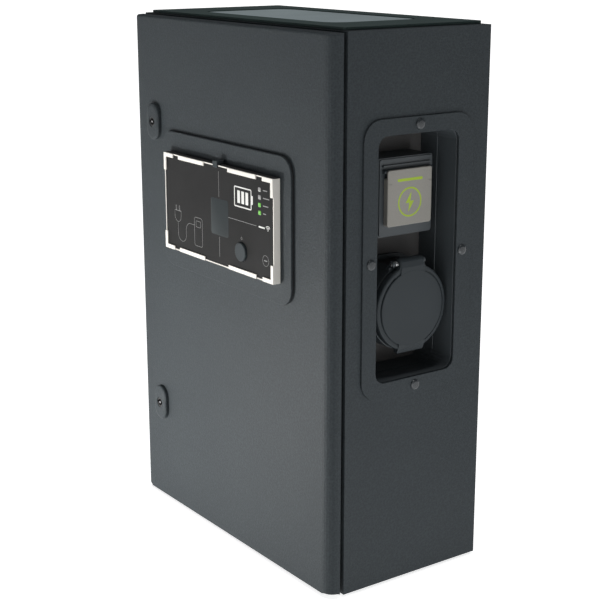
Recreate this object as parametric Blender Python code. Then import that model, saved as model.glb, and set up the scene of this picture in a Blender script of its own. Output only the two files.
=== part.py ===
"""Steel ev charging cabinet with two outlets in a side recess and a control panel on its door.

Metres, +Z up. The origin is the centre of the underside, so the cabinet stands on z = 0.
-Y is the front (the door), +X is the side with the outlets.
"""

import math

import bmesh
import bpy
from mathutils import Vector

GAP = 0.0003  # between pieces that rest on each other

# Cabinet shell
CASE_WIDTH = 0.400
CASE_HEIGHT = 0.600
CASE_FRONT = -0.09425
CASE_BACK = 0.09425
SHEET = 0.0015
CASE_EDGE = 0.002
BASE = 0.0034  # the case stands this far up, on its bottom gasket frame
CASE_TOP = BASE + CASE_HEIGHT
HALF_WIDTH = CASE_WIDTH / 2
MID_HEIGHT = BASE + CASE_HEIGHT / 2
OPENING_HALF = 0.178  # half the width of the front opening
OPENING_LOW = BASE + 0.022
OPENING_HIGH = CASE_TOP - 0.022
RAIN_LIP_FRONT = -0.1030

# Door
DOOR_HALF = 0.199
DOOR_FRONT = -0.11275
DOOR_RETURN = -0.09825
DOOR_LOW = BASE + 0.0013
DOOR_HIGH = CASE_TOP - 0.0013
DOOR_BEND = 0.014
DOOR_EDGE = 0.0025
DOOR_INNER = DOOR_FRONT + SHEET
HINGE_X = 0.1949
HINGE_Y = -0.0999
HINGE_HEIGHTS = (BASE + 0.085, BASE + 0.515)
HINGE_PIN_RADIUS = 0.0015
HINGE_KNUCKLE_RADIUS = 0.0024
HINGE_LEAF_LENGTH = 0.060

# Door locks
LOCK_X = -0.1504
LOCK_HEIGHTS = (BASE + 0.1253, BASE + 0.4763)
LOCK_BARREL_RADIUS = 0.0060
CAM_LENGTH = 0.038

# Control panel on the door
DISPLAY_X = 0.0032
DISPLAY_Z = BASE + 0.3897
BEZEL_SIZE = (0.2630, 0.1602)
BEZEL_RADIUS = 0.020
BEZEL_GASKET_DEPTH = 0.0010
BEZEL_DEPTH = 0.0024
TRAY_SIZE = (0.2246, 0.1126)
TRAY_WALL = 0.0012
TRAY_FRONT = -0.1265  # front of its tabs
TRAY_RIM = -0.1252  # front of its walls
TAB_LAP = 0.0045
CORNER_TAB = 0.020
EDGE_TAB = 0.055
EDGE_TABS_OUT = 0.0525
PANEL_FRONT = TRAY_RIM + GAP
BUTTON_OFFSET = (0.0495, -0.0325)
BUTTON_RADIUS = 0.0105

# Side recess
WELL_Y = -0.0020
WELL_Z = BASE + 0.3630
WELL_SIZE = (0.1080, 0.2624)
WELL_RADIUS = 0.012
WELL_WALL = 0.002
WELL_BACK = 0.141
WELL_STEP_X = 0.168  # the well is a little wider from here out
WELL_STEP = 0.0006
TRIM_SIZE = (0.1467, 0.2970)
TRIM_RADIUS = 0.022
TRIM_DEPTH = 0.002
PLUG_REACH = (0.0620, 0.1405)

# Outlets
OUTLET_Y = 0.0003
SOCKET_Z = BASE + 0.4254
SOCKET_SIZE = (0.0736, 0.0838)
SOCKET_RIM = 0.0014  # width and depth of the step round its face
SOCKET_FACE = 0.1785
FLAP_SIZE = (0.0598, 0.0600)
FLAP_DEPTH = 0.0064
FLAP_PLATE = 0.0018
FLAP_TOP = SOCKET_Z + 0.0295
FLAP_HINGE_X = 0.1812
FLAP_HINGE_Z = FLAP_TOP - 0.0018
FLAP_NOTCH = (0.0048, 0.0085)  # room behind each top corner, for the housing's lug
FLAP_PIN_RADIUS = 0.0009
TYPE2_Z = BASE + 0.3055
TYPE2_RADIUS = 0.0485
TYPE2_BORE = 0.0325
TYPE2_FACE = 0.1835
LID_RADIUS = 0.0475
LID_BACK = 0.1842
LID_RIM = 0.1922
LID_FRONT = 0.1934
LID_DISC_RADIUS = 0.0420
LID_HINGE_X = 0.1865
LID_HINGE_Z = TYPE2_Z + 0.0494
LID_HINGE_RADIUS = 0.0060
LID_NECK_HALF = 0.0165
LID_TAB_HALF = 0.0180
EARS = ((-0.0246, -0.0222), (0.0174, 0.0196))  # a spring fills the gap beside the first
EAR_RADIUS = 0.0034
LID_PIN_REACH = 0.0010  # past each ear
LOCK_POCKET_Z = TYPE2_Z + 0.0400
LOCK_TOP = TYPE2_Z + 0.0450
LOCK_BACK_X = 0.1460
LOCK_FRONT_X = 0.1740
LOCK_PIN_X = 0.160
CONTACT_HOLE = 0.0031

# Mounting plate and rail devices
PLATE_FRONT = 0.078
PLATE_THICK = 0.002
PLATE_HALF = 0.170
RAIL_DEPTH = 0.0075
RAIL_HEIGHTS = (BASE + 0.215, BASE + 0.425)
DEVICE_BACK = PLATE_FRONT - RAIL_DEPTH - 2 * GAP
MODULE = 0.018


def clear_scene():
    for old in list(bpy.data.objects):
        bpy.data.objects.remove(old, do_unlink=True)


def make_material(name, colour, roughness, metallic=0.0):
    material = bpy.data.materials.new(name)
    material.use_nodes = True
    shader = material.node_tree.nodes["Principled BSDF"]
    shader.inputs["Base Color"].default_value = (*colour, 1.0)
    shader.inputs["Roughness"].default_value = roughness
    shader.inputs["Metallic"].default_value = metallic
    return material


# ---------------------------------------------------------------- outlines


def rounded_rect(size, radius, centre=(0.0, 0.0), steps=5):
    """Anticlockwise outline of a rectangle with round corners."""
    points = []
    for quadrant, (side_u, side_v) in enumerate(((1, 1), (-1, 1), (-1, -1), (1, -1))):
        corner_u = centre[0] + side_u * (size[0] / 2 - radius)
        corner_v = centre[1] + side_v * (size[1] / 2 - radius)
        for step in range(steps + 1):
            angle = math.pi / 2 * (quadrant + step / steps)
            points.append((corner_u + radius * math.cos(angle), corner_v + radius * math.sin(angle)))
    return points


def circle(centre, radius, segments=32):
    turn = 2 * math.pi / segments
    return [
        (centre[0] + radius * math.cos(turn * step), centre[1] + radius * math.sin(turn * step))
        for step in range(segments)
    ]


def arc(centre, radius, start, end, steps):
    """Points on an arc, with its angles in degrees."""
    points = []
    for step in range(steps + 1):
        angle = math.radians(start + (end - start) * step / steps)
        points.append((centre[0] + radius * math.cos(angle), centre[1] + radius * math.sin(angle)))
    return points


# ---------------------------------------------------------------- mesh builders


def to_space(axis, u, v, w):
    """(u, v) across the axis and w along it: YZ across X, XZ across Y, XY across Z."""
    return {"X": (w, u, v), "Y": (u, w, v), "Z": (u, v, w)}[axis]


def add_loop(bm, axis, outline, w):
    return [bm.verts.new(to_space(axis, u, v, w)) for u, v in outline]


def bridge(bm, first, second):
    count = len(first)
    for index in range(count):
        following = (index + 1) % count
        bm.faces.new((first[index], first[following], second[following], second[index]))


def add_prism(bm, axis, outline, low, high):
    near = add_loop(bm, axis, outline, low)
    far = add_loop(bm, axis, outline, high)
    bridge(bm, near, far)
    bm.faces.new(near)
    bm.faces.new(far)


def add_ring(bm, axis, outer, inner, low, high):
    """A plate with a hole: both outlines have the same number of points."""
    loops = [add_loop(bm, axis, outline, w) for w in (low, high) for outline in (outer, inner)]
    outer_low, inner_low, outer_high, inner_high = loops
    bridge(bm, outer_low, outer_high)
    bridge(bm, inner_high, inner_low)
    bridge(bm, inner_low, outer_low)
    bridge(bm, outer_high, inner_high)


def add_box(bm, low, high):
    outline = [(low[0], low[1]), (high[0], low[1]), (high[0], high[1]), (low[0], high[1])]
    add_prism(bm, "Z", outline, low[2], high[2])


def add_cylinder(bm, axis, centre, radius, low, high, segments=32):
    add_prism(bm, axis, circle(centre, radius, segments), low, high)


def add_turned(bm, axis, centre, profile, segments=32):
    """A turned solid: the profile lists (radius, place along the axis) from end to end."""
    loops = []
    for radius, w in profile:
        if radius > 0:
            loops.append(add_loop(bm, axis, circle(centre, radius, segments), w))
        else:
            loops.append([bm.verts.new(to_space(axis, centre[0], centre[1], w))])
    for first, second in zip(loops, loops[1:]):
        if len(first) > 1 and len(second) > 1:
            bridge(bm, first, second)
            continue
        tip, rim = (first, second) if len(first) == 1 else (second, first)
        for index, vert in enumerate(rim):
            bm.faces.new((tip[0], vert, rim[(index + 1) % len(rim)]))
    return loops


def add_tube(bm, axis, centre, outer, inner, low, high, segments=32):
    add_ring(bm, axis, circle(centre, outer, segments), circle(centre, inner, segments), low, high)


def bevel_where(bm, chosen, width, segments=2):
    """Rounds the edges whose two ends both pass the test."""
    edges = [edge for edge in bm.edges if all(chosen(vert.co) for vert in edge.verts)]
    bmesh.ops.bevel(bm, geom=edges, offset=width, segments=segments, profile=0.5, affect="EDGES")


def bevel_sharp(bm, width, segments=2, least=50):
    edges = [edge for edge in bm.edges if edge.calc_face_angle(0) > math.radians(least)]
    bmesh.ops.bevel(bm, geom=edges, offset=width, segments=segments, profile=0.5, affect="EDGES")


def to_object(name, bm, material, parent=None, origin=(0.0, 0.0, 0.0), smooth=True):
    """Turns the mesh, drawn in world metres, into an object with its origin at the given point."""
    bmesh.ops.recalc_face_normals(bm, faces=bm.faces)
    bmesh.ops.translate(bm, verts=bm.verts, vec=-Vector(origin))
    mesh = bpy.data.meshes.new(name)
    bm.to_mesh(mesh)
    bm.free()
    if smooth:
        mesh.shade_smooth()
        mesh.set_sharp_from_angle(angle=math.radians(35))
    if material:
        mesh.materials.append(material)
    obj = bpy.data.objects.new(name, mesh)
    bpy.context.collection.objects.link(obj)
    obj.parent = parent
    obj.location = Vector(origin) - (parent.location if parent else Vector((0.0, 0.0, 0.0)))
    return obj


def shape_with(target, tool_bm, operation, label):
    """Cuts or joins the tool, which is left out of the model itself."""
    tool = to_object(f"{target.name}_{label}", tool_bm, None, smooth=False)
    tool.hide_render = True
    tool.display_type = "WIRE"
    modifier = target.modifiers.new(label, "BOOLEAN")
    modifier.operation = operation
    modifier.solver = "EXACT"
    modifier.object = tool


def cut(target, tool_bm, label="cutter"):
    shape_with(target, tool_bm, "DIFFERENCE", label)


def join(target, tool_bm, label="addition"):
    shape_with(target, tool_bm, "UNION", label)


def pivot(name, location, parent=None):
    """An empty on a joint's axis, which carries every piece that moves with it."""
    empty = bpy.data.objects.new(name, None)
    bpy.context.collection.objects.link(empty)
    empty.parent = parent
    empty.location = Vector(location) - (parent.location if parent else Vector((0.0, 0.0, 0.0)))
    return empty


# ---------------------------------------------------------------- cabinet


def make_shell(paint):
    low = (-HALF_WIDTH, CASE_FRONT, BASE)
    high = (HALF_WIDTH, CASE_BACK, CASE_TOP)
    bm = bmesh.new()
    add_box(bm, low, high)
    bevel_sharp(bm, CASE_EDGE, 3)
    shell = to_object("cabinet_shell", bm, paint)

    cavity = bmesh.new()
    add_box(cavity, [value + SHEET for value in low], [value - SHEET for value in high])
    cut(shell, cavity, "cavity")

    lip = bmesh.new()
    lip_half = OPENING_HALF + SHEET
    lip_low = (-lip_half, RAIN_LIP_FRONT, OPENING_LOW - SHEET)
    lip_high = (lip_half, CASE_FRONT + SHEET / 2, OPENING_HIGH + SHEET)
    add_box(lip, lip_low, lip_high)
    join(shell, lip, "rain_lip")

    openings = bmesh.new()
    front_low = (-OPENING_HALF, RAIN_LIP_FRONT - 0.01, OPENING_LOW)
    front_high = (OPENING_HALF, CASE_FRONT + 2 * SHEET, OPENING_HIGH)
    add_box(openings, front_low, front_high)
    slack = 0.0015
    side_size = (WELL_SIZE[0] + 2 * slack, WELL_SIZE[1] + 2 * slack)
    side_outline = rounded_rect(side_size, WELL_RADIUS + slack, (WELL_Y, WELL_Z))
    add_prism(openings, "X", side_outline, HALF_WIDTH - 0.006, HALF_WIDTH + 0.006)
    for z in (BASE, CASE_TOP):
        hole = rounded_rect((0.220, 0.090), 0.010)
        add_prism(openings, "Z", hole, z - 0.006, z + 0.006)
    for x in (-0.160, 0.160):
        for z in (BASE + 0.030, CASE_TOP - 0.030):
            add_cylinder(openings, "Y", (x, z), 0.0045, CASE_BACK - 0.006, CASE_BACK + 0.006, 16)
    for centre in plug_places():
        add_cylinder(openings, "X", centre, 0.0034, HALF_WIDTH - 0.006, HALF_WIDTH + 0.006, 12)
    cut(shell, openings, "openings")


def make_gasket_frames(rubber):
    """Flat sealing frames above and below the case, around the gland plates."""
    places = {
        "bottom_gasket_frame": (0.0, BASE - GAP),
        "top_gasket_frame": (CASE_TOP + GAP, CASE_TOP + BASE),
    }
    for name, (low, high) in places.items():
        bm = bmesh.new()
        outer = rounded_rect((0.3780, 0.1830), 0.003)
        inner = rounded_rect((0.2582, 0.1212), 0.0206)
        add_ring(bm, "Z", outer, inner, low, high)
        to_object(name, bm, rubber)


def make_gland_plates(metal):
    outline = rounded_rect((0.2570, 0.1200), 0.020)
    bm = bmesh.new()
    add_prism(bm, "Z", outline, CASE_TOP + GAP, CASE_TOP + 0.0024)
    to_object("top_gland_plate", bm, metal)

    bm = bmesh.new()
    add_prism(bm, "Z", outline, 0.0, BASE - GAP)
    plate = to_object("bottom_gland_plate", bm, metal)
    hole = bmesh.new()
    add_cylinder(hole, "Z", (-0.070, 0.0), 0.0163, -0.01, 0.01, 32)
    cut(plate, hole)


def make_supply_gland(plastic):
    """The gland that the supply cable enters by, screwed into the bottom gland plate."""
    centre = (-0.070, 0.0)
    seat = BASE + SHEET + GAP
    bm = bmesh.new()
    bore = 0.0105
    profile = [
        (bore, 0.0005),
        (0.0160, 0.0005),
        (0.0160, seat),
        (0.0205, seat),
        (0.0205, seat + 0.008),
        (0.0150, seat + 0.008),
        (0.0150, seat + 0.022),
        (bore, seat + 0.022),
    ]
    loops = add_turned(bm, "Z", centre, profile, 24)
    bridge(bm, loops[-1], loops[0])
    to_object("supply_gland_body", bm, plastic)

    bm = bmesh.new()
    profile = [
        (0.0154, seat + 0.0085),
        (0.0195, seat + 0.0085),
        (0.0195, seat + 0.020),
        (0.0160, seat + 0.030),
        (0.0110, seat + 0.032),
        (0.0110, seat + 0.026),
        (0.0154, seat + 0.0225),
    ]
    loops = add_turned(bm, "Z", centre, profile, 24)
    bridge(bm, loops[-1], loops[0])
    to_object("supply_gland_nut", bm, plastic)


# ---------------------------------------------------------------- mounting plate and devices


def make_mounting_plate(zinc):
    low = BASE + 0.040
    high = CASE_TOP - 0.040
    bm = bmesh.new()
    outline = rounded_rect((2 * PLATE_HALF, high - low), 0.006, (0.0, (low + high) / 2), 2)
    add_prism(bm, "Y", outline, PLATE_FRONT, PLATE_FRONT + PLATE_THICK)
    plate = to_object("mounting_plate", bm, zinc)
    holes = bmesh.new()
    corners = [(x, z) for x in (-0.155, 0.155) for z in (low + 0.015, high - 0.015)]
    for corner in corners:
        add_cylinder(holes, "Y", corner, 0.0042, PLATE_FRONT - 0.01, PLATE_FRONT + 0.01, 12)
    cut(plate, holes)
    for index, corner in enumerate(corners):
        stud = bmesh.new()
        profile = [
            (0.0, PLATE_FRONT - 0.004),
            (0.0038, PLATE_FRONT - 0.004),
            (0.0038, PLATE_FRONT + PLATE_THICK + GAP),
            (0.0070, PLATE_FRONT + PLATE_THICK + GAP),
            (0.0070, CASE_BACK - SHEET - GAP),
            (0.0, CASE_BACK - SHEET - GAP),
        ]
        add_turned(stud, "Y", corner, profile, 16)
        to_object(f"plate_standoff_{index + 1}", stud, zinc)


def make_rail(name, z, zinc):
    """Top-hat rail, 35 mm wide."""
    back = PLATE_FRONT - GAP
    front = back - RAIL_DEPTH
    thick = 0.001
    outline = [
        (front, z - 0.0175),
        (front + thick, z - 0.0175),
        (front + thick, z - 0.0135),
        (back, z - 0.0135),
        (back, z + 0.0135),
        (front + thick, z + 0.0135),
        (front + thick, z + 0.0175),
        (front, z + 0.0175),
        (front, z + 0.0125),
        (back - thick, z + 0.0125),
        (back - thick, z - 0.0125),
        (front, z - 0.0125),
    ]
    bm = bmesh.new()
    add_prism(bm, "X", outline, -0.165, 0.060)
    to_object(name, bm, zinc)


def device_outline(z, height=0.090, depth=0.056, nose=0.045):
    """Side view of a rail device: full height at the terminals, with a raised nose between them."""
    front = DEVICE_BACK - depth
    shoulder = front + 0.014
    return [
        (DEVICE_BACK, z - height / 2),
        (DEVICE_BACK, z + height / 2),
        (shoulder, z + height / 2),
        (shoulder, z + nose / 2),
        (front, z + nose / 2),
        (front, z - nose / 2),
        (shoulder, z - nose / 2),
        (shoulder, z - height / 2),
    ]


def make_device(name, start, modules, z, material, depth=0.056):
    bm = bmesh.new()
    end = start + modules * MODULE - 2 * GAP
    add_prism(bm, "X", device_outline(z, depth=depth), start, end)
    return to_object(name, bm, material)


def make_devices(grey, white, green, brass, black):
    lower, upper = RAIL_HEIGHTS
    left = -0.160
    rcd = make_device("residual_current_breaker", left, 4, upper, white)
    make_device("contactor", left + 0.080, 3, upper, grey)
    make_device("power_supply", left + 0.142, 3, upper, grey)
    make_device("charge_controller", left, 6, lower, green)
    make_terminal_block(left + 0.116, lower, grey)
    make_earth_bar(brass)
    make_breaker_toggle(rcd, left, upper, black)


def make_terminal_block(start, z, material):
    """A row of clamp terminals: low blocks with deeper dividers between them."""
    count = 8
    pitch = 0.0082
    bm = bmesh.new()
    add_box(bm, (start, DEVICE_BACK - 0.036, z - 0.025), (start + count * pitch, DEVICE_BACK, z + 0.025))
    block = to_object("terminal_block", bm, material)
    slots = bmesh.new()
    for index in range(count):
        middle = start + (index + 0.5) * pitch
        for side in (-1, 1):
            inner, outer = sorted((z + side * 0.006, z + side * 0.020))
            slot_low = (middle - 0.0028, DEVICE_BACK - 0.040, inner)
            slot_high = (middle + 0.0028, DEVICE_BACK - 0.026, outer)
            add_box(slots, slot_low, slot_high)
    cut(block, slots)


def make_earth_bar(brass):
    z = BASE + 0.090
    bm = bmesh.new()
    add_box(bm, (-0.150, PLATE_FRONT - 0.018, z - 0.006), (-0.040, PLATE_FRONT - 0.010, z + 0.006))
    bar = to_object("earth_bar", bm, brass)
    feet = bmesh.new()
    for x in (-0.140, -0.050):
        add_cylinder(feet, "Y", (x, z), 0.0045, PLATE_FRONT - 0.012, PLATE_FRONT - GAP, 12)
    join(bar, feet, "feet")
    screws = bmesh.new()
    for index in range(8):
        x = -0.1275 + index * 0.0093
        add_cylinder(screws, "Y", (x, z), 0.0026, PLATE_FRONT - 0.030, PLATE_FRONT - 0.012, 10)
    cut(bar, screws)


def make_breaker_toggle(rcd, start, z, black):
    """The breaker's handle, a lever on a drum that turns in a slot in the breaker's nose."""
    front = DEVICE_BACK - 0.056
    axis_y = front + 0.007
    drum = 0.0085
    low = start + 0.0465
    high = start + 0.0655
    slot = bmesh.new()
    slot_outline = rounded_rect((0.036, 0.030), 0.001, (axis_y - 0.008, z), 1)
    add_prism(slot, "X", slot_outline, low - 0.0005, high + 0.0005)
    cut(rcd, slot, "toggle_slot")
    handle = pivot("breaker_toggle_axis", ((low + high) / 2, axis_y, z))
    outline = arc((axis_y, z), drum, 170, 490, 20)
    lever = [
        (axis_y - 0.0125, z + 0.0095),
        (axis_y - 0.0165, z + 0.0125),
        (axis_y - 0.0180, z + 0.0105),
        (axis_y - 0.0125, z + 0.0045),
    ]
    bm = bmesh.new()
    add_prism(bm, "X", outline + lever, low, high)
    to_object("breaker_toggle", bm, black, handle, ((low + high) / 2, axis_y, z))


# ---------------------------------------------------------------- door


def door_outline(inset):
    """Plan of the door, with the bends at its two upright edges."""
    half = DOOR_HALF - inset
    radius = DOOR_BEND - inset
    front = DOOR_FRONT + inset
    left = arc((-half + radius, front + radius), radius, 180, 270, 7)
    right = arc((half - radius, front + radius), radius, 270, 360, 7)
    return left + right


def make_door(paint, seal_rubber, door):
    bm = bmesh.new()
    outline = door_outline(0.0)
    back = [(DOOR_HALF, DOOR_RETURN), (-DOOR_HALF, DOOR_RETURN)]
    add_prism(bm, "Z", outline + back, DOOR_LOW, DOOR_HIGH)
    for z in (DOOR_LOW, DOOR_HIGH):
        bevel_where(bm, lambda co: abs(co.z - z) < 1e-6 and co.y < DOOR_RETURN - 1e-5, DOOR_EDGE, 3)
    panel = to_object("door_panel", bm, paint, door, door.location)

    hollow = bmesh.new()
    inner_half = DOOR_HALF - SHEET
    inner_back = [(inner_half, DOOR_RETURN + 0.01), (-inner_half, DOOR_RETURN + 0.01)]
    add_prism(hollow, "Z", door_outline(SHEET) + inner_back, DOOR_LOW + SHEET, DOOR_HIGH - SHEET)
    cut(panel, hollow, "hollow")

    holes = bmesh.new()
    window = rounded_rect((0.190, 0.070), 0.006, (DISPLAY_X, DISPLAY_Z), 3)
    add_prism(holes, "Y", window, DOOR_FRONT - 0.01, DOOR_FRONT + 0.01)
    for z in LOCK_HEIGHTS:
        add_cylinder(holes, "Y", (LOCK_X, z), 0.0095, DOOR_FRONT - 0.01, DOOR_FRONT + 0.01, 24)
    cut(panel, holes, "holes")

    seal = bmesh.new()
    seal_half = OPENING_HALF + 0.004
    seal_height = OPENING_HIGH - OPENING_LOW + 0.008
    outer = rounded_rect((2 * seal_half, seal_height), 0.008, (0.0, MID_HEIGHT), 3)
    inner = rounded_rect((2 * seal_half - 0.018, seal_height - 0.018), 0.003, (0.0, MID_HEIGHT), 3)
    add_ring(seal, "Y", outer, inner, DOOR_INNER + GAP, RAIN_LIP_FRONT - GAP)
    to_object("door_seal", seal, seal_rubber, door, door.location)


def make_hinge(index, z, zinc, door):
    """Hidden hinge: a case leaf with the lower knuckle, a door leaf with the upper one, and a pin."""
    label = ("lower", "upper")[index]
    centre = (HINGE_X, HINGE_Y)
    half = HINGE_LEAF_LENGTH / 2
    bore = HINGE_PIN_RADIUS + 0.0001
    leaf_back = CASE_FRONT - GAP
    leaf = bmesh.new()
    add_tube(leaf, "Z", centre, HINGE_KNUCKLE_RADIUS, bore, z - half, z - GAP, 16)
    case_leaf = to_object(f"hinge_case_leaf_{label}", leaf, zinc)
    arm = bmesh.new()
    plate_right = 0.1880
    arm_outline = [
        (HINGE_X - HINGE_KNUCKLE_RADIUS + 0.0004, HINGE_Y + 0.0008),
        (plate_right, leaf_back - 0.0014),
        (plate_right, leaf_back),
        (0.1802, leaf_back),
        (0.1802, leaf_back - 0.0015),
        (0.1865, leaf_back - 0.0015),
        (0.1865, HINGE_Y - 0.0008),
        (HINGE_X - HINGE_KNUCKLE_RADIUS + 0.0004, HINGE_Y - 0.0008),
    ]
    add_prism(arm, "Z", arm_outline, z - half + 0.0001, z - GAP - 0.0001)
    join(case_leaf, arm, "arm")

    leaf = bmesh.new()
    add_tube(leaf, "Z", centre, HINGE_KNUCKLE_RADIUS, bore, z + GAP, z + half, 16)
    door_leaf = to_object(f"hinge_door_leaf_{label}", leaf, zinc, door, door.location)
    arm = bmesh.new()
    face = DOOR_INNER + GAP
    arm_outline = [
        (HINGE_X - 0.0012, HINGE_Y - HINGE_KNUCKLE_RADIUS + 0.0007),
        (HINGE_X + 0.0006, HINGE_Y - HINGE_KNUCKLE_RADIUS + 0.0005),
        (0.1868, face + 0.0017),
        (0.1850, face),
        (0.1825, face),
        (0.1825, face + 0.0012),
        (0.1850, face + 0.0016),
    ]
    add_prism(arm, "Z", arm_outline, z + GAP + 0.0001, z + half - 0.0001)
    join(door_leaf, arm, "arm")

    pin = bmesh.new()
    head = HINGE_KNUCKLE_RADIUS
    profile = [
        (0.0, z - half - 0.003),
        (HINGE_PIN_RADIUS, z - half - 0.002),
        (HINGE_PIN_RADIUS, z + half + GAP),
        (head, z + half + GAP),
        (head, z + half + 0.002),
        (0.0, z + half + 0.002),
    ]
    add_turned(pin, "Z", centre, profile, 16)
    to_object(f"hinge_pin_{label}", pin, zinc)


def make_lock(index, z, paint, steel, door):
    """A quarter-turn lock: its cap on the door, and a barrel and cam that turn together."""
    label = ("lower", "upper")[index]
    cap = bmesh.new()
    rings = [
        (0.0270, 0.0430, DOOR_FRONT - GAP),
        (0.0270, 0.0430, DOOR_FRONT - 0.0036),
        (0.0250, 0.0410, DOOR_FRONT - 0.0046),
        (0.0200, 0.0360, DOOR_FRONT - 0.0052),
    ]
    loops = [
        add_loop(cap, "Y", rounded_rect((width, height), width / 2 - 1e-5, (LOCK_X, z), 8), y)
        for width, height, y in rings
    ]
    for first, second in zip(loops, loops[1:]):
        bridge(cap, first, second)
    cap.faces.new(loops[0])
    cap.faces.new(loops[-1])
    cap_object = to_object(f"lock_cap_{label}", cap, paint, door, door.location)
    well = bmesh.new()
    well_radius = LOCK_BARREL_RADIUS + GAP
    add_cylinder(well, "Y", (LOCK_X, z), well_radius, DOOR_FRONT - 0.02, DOOR_FRONT + 0.01, 24)
    cut(cap_object, well)

    lock = pivot(f"lock_{label}_axis", (LOCK_X, DOOR_FRONT, z), door)
    origin = (LOCK_X, DOOR_FRONT, z)
    tail = CASE_FRONT + SHEET + 0.0012
    barrel = bmesh.new()
    profile = [
        (0.0, DOOR_FRONT - 0.0046),
        (LOCK_BARREL_RADIUS, DOOR_FRONT - 0.0046),
        (LOCK_BARREL_RADIUS, tail - GAP),
        (0.0034, tail - GAP),
        (0.0034, tail + 0.0060),
        (0.0, tail + 0.0060),
    ]
    add_turned(barrel, "Y", (LOCK_X, z), profile, 24)
    barrel_object = to_object(f"lock_barrel_{label}", barrel, steel, lock, origin)
    barrel_object.location = (0.0, 0.0, 0.0)
    key_hole = bmesh.new()
    key_floor = DOOR_FRONT + 0.006
    outer = circle((LOCK_X, z), 0.0042, 20)
    inner = circle((LOCK_X, z), 0.0015, 20)
    add_ring(key_hole, "Y", outer, inner, DOOR_FRONT - 0.02, key_floor)
    cut(barrel_object, key_hole, "key_hole")
    ears = bmesh.new()
    for side in (-1, 1):
        near, far = sorted((LOCK_X + side * 0.0036, LOCK_X + side * 0.0056))
        add_box(ears, (near, DOOR_FRONT - 0.02, z - 0.0013), (far, key_floor, z + 0.0013))
    cut(barrel_object, ears, "key_ears")

    cam = bmesh.new()
    end = z - CAM_LENGTH
    outline = arc((LOCK_X, z), 0.0085, 0, 180, 8) + arc((LOCK_X, end + 0.006), 0.006, 180, 360, 6)
    add_prism(cam, "Y", outline, tail, tail + 0.0030)
    cam_object = to_object(f"lock_cam_{label}", cam, steel, lock, origin)
    cam_object.location = (0.0, 0.0, 0.0)
    bore = bmesh.new()
    add_cylinder(bore, "Y", (LOCK_X, z), 0.0036, tail - 0.01, tail + 0.01, 16)
    cut(cam_object, bore)


# ---------------------------------------------------------------- control panel


def make_display(paint, rubber, cream, black, circuit, grey, door):
    gasket_front = DOOR_FRONT - GAP - BEZEL_GASKET_DEPTH
    bezel_front = gasket_front - GAP - BEZEL_DEPTH
    tray_back = bezel_front - GAP
    centre = (DISPLAY_X, DISPLAY_Z)
    window = rounded_rect((0.190, 0.070), 0.006, centre, 5)

    bm = bmesh.new()
    outline = rounded_rect(BEZEL_SIZE, BEZEL_RADIUS, centre, 5)
    add_ring(bm, "Y", outline, window, DOOR_FRONT - GAP, gasket_front)
    to_object("bezel_gasket", bm, rubber, door, door.location)

    bm = bmesh.new()
    add_ring(bm, "Y", outline, window, gasket_front - GAP, bezel_front)
    bevel_where(bm, lambda co: co.y < bezel_front + 1e-6 and outside_window(co), 0.0008, 2)
    bezel = to_object("display_bezel", bm, paint, door, door.location)
    tray_top = DISPLAY_Z + TRAY_SIZE[1] / 2
    slot = bmesh.new()
    slot_low = (DISPLAY_X - 0.076, bezel_front - 0.01, tray_top - 0.0010)
    slot_high = (DISPLAY_X + 0.076, bezel_front + 0.0016, tray_top + 0.0016)
    add_box(slot, slot_low, slot_high)
    cut(bezel, slot, "slot")
    notch = bmesh.new()
    notch_centre = (DISPLAY_X + 0.0070, tray_top + 0.0010)
    add_cylinder(notch, "Y", notch_centre, 0.0050, bezel_front - 0.01, bezel_front + 0.0018, 20)
    cut(bezel, notch, "release_notch")

    make_tray(centre, tray_back, cream, door)

    bm = bmesh.new()
    inset = 2 * (TRAY_WALL + GAP)
    panel_size = (TRAY_SIZE[0] - inset, TRAY_SIZE[1] - inset)
    panel_back = PANEL_FRONT + 0.0030
    add_prism(bm, "Y", rounded_rect(panel_size, 0.0010, centre, 2), panel_back, PANEL_FRONT)
    panel = to_object("display_panel", bm, black, door, door.location)
    button_centre = (centre[0] + BUTTON_OFFSET[0], centre[1] + BUTTON_OFFSET[1])
    hole = bmesh.new()
    add_cylinder(hole, "Y", button_centre, BUTTON_RADIUS + 0.0004, PANEL_FRONT - 0.01, PANEL_FRONT + 0.01, 32)
    cut(panel, hole)

    bm = bmesh.new()
    board_size = (0.170, 0.060)
    board = rounded_rect(board_size, 0.002, centre, 1)
    add_prism(bm, "Y", board, DOOR_FRONT - 0.0030, DOOR_FRONT - 0.0014)
    to_object("display_board", bm, circuit, door, door.location)

    bm = bmesh.new()
    low = (DISPLAY_X - 0.0045, TRAY_RIM - 0.0016, tray_top - 0.0026)
    high = (DISPLAY_X + 0.0045, bezel_front - GAP, tray_top + 0.0045)
    add_box(bm, low, high)
    clip = to_object("display_clip", bm, paint, door, door.location)
    throat = bmesh.new()
    throat_low = (DISPLAY_X - 0.006, TRAY_RIM - GAP, tray_top - 0.006)
    throat_high = (DISPLAY_X + 0.006, bezel_front + 0.002, tray_top + GAP)
    add_box(throat, throat_low, throat_high)
    cut(clip, throat)

    bm = bmesh.new()
    profile = [
        (0.0, PANEL_FRONT + 0.0028),
        (BUTTON_RADIUS, PANEL_FRONT + 0.0028),
        (BUTTON_RADIUS, PANEL_FRONT - 0.0018),
        (BUTTON_RADIUS - 0.0008, PANEL_FRONT - 0.0025),
        (0.0, PANEL_FRONT - 0.0025),
    ]
    add_turned(bm, "Y", button_centre, profile, 32)
    button = pivot("start_button_axis", (button_centre[0], PANEL_FRONT, button_centre[1]), door)
    button_object = to_object("start_button", bm, grey, button, (0.0, 0.0, 0.0))
    button_object.location = -(door.location + button.location)


def outside_window(co):
    return abs(co.x - DISPLAY_X) > 0.097 or abs(co.z - DISPLAY_Z) > 0.037


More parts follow.
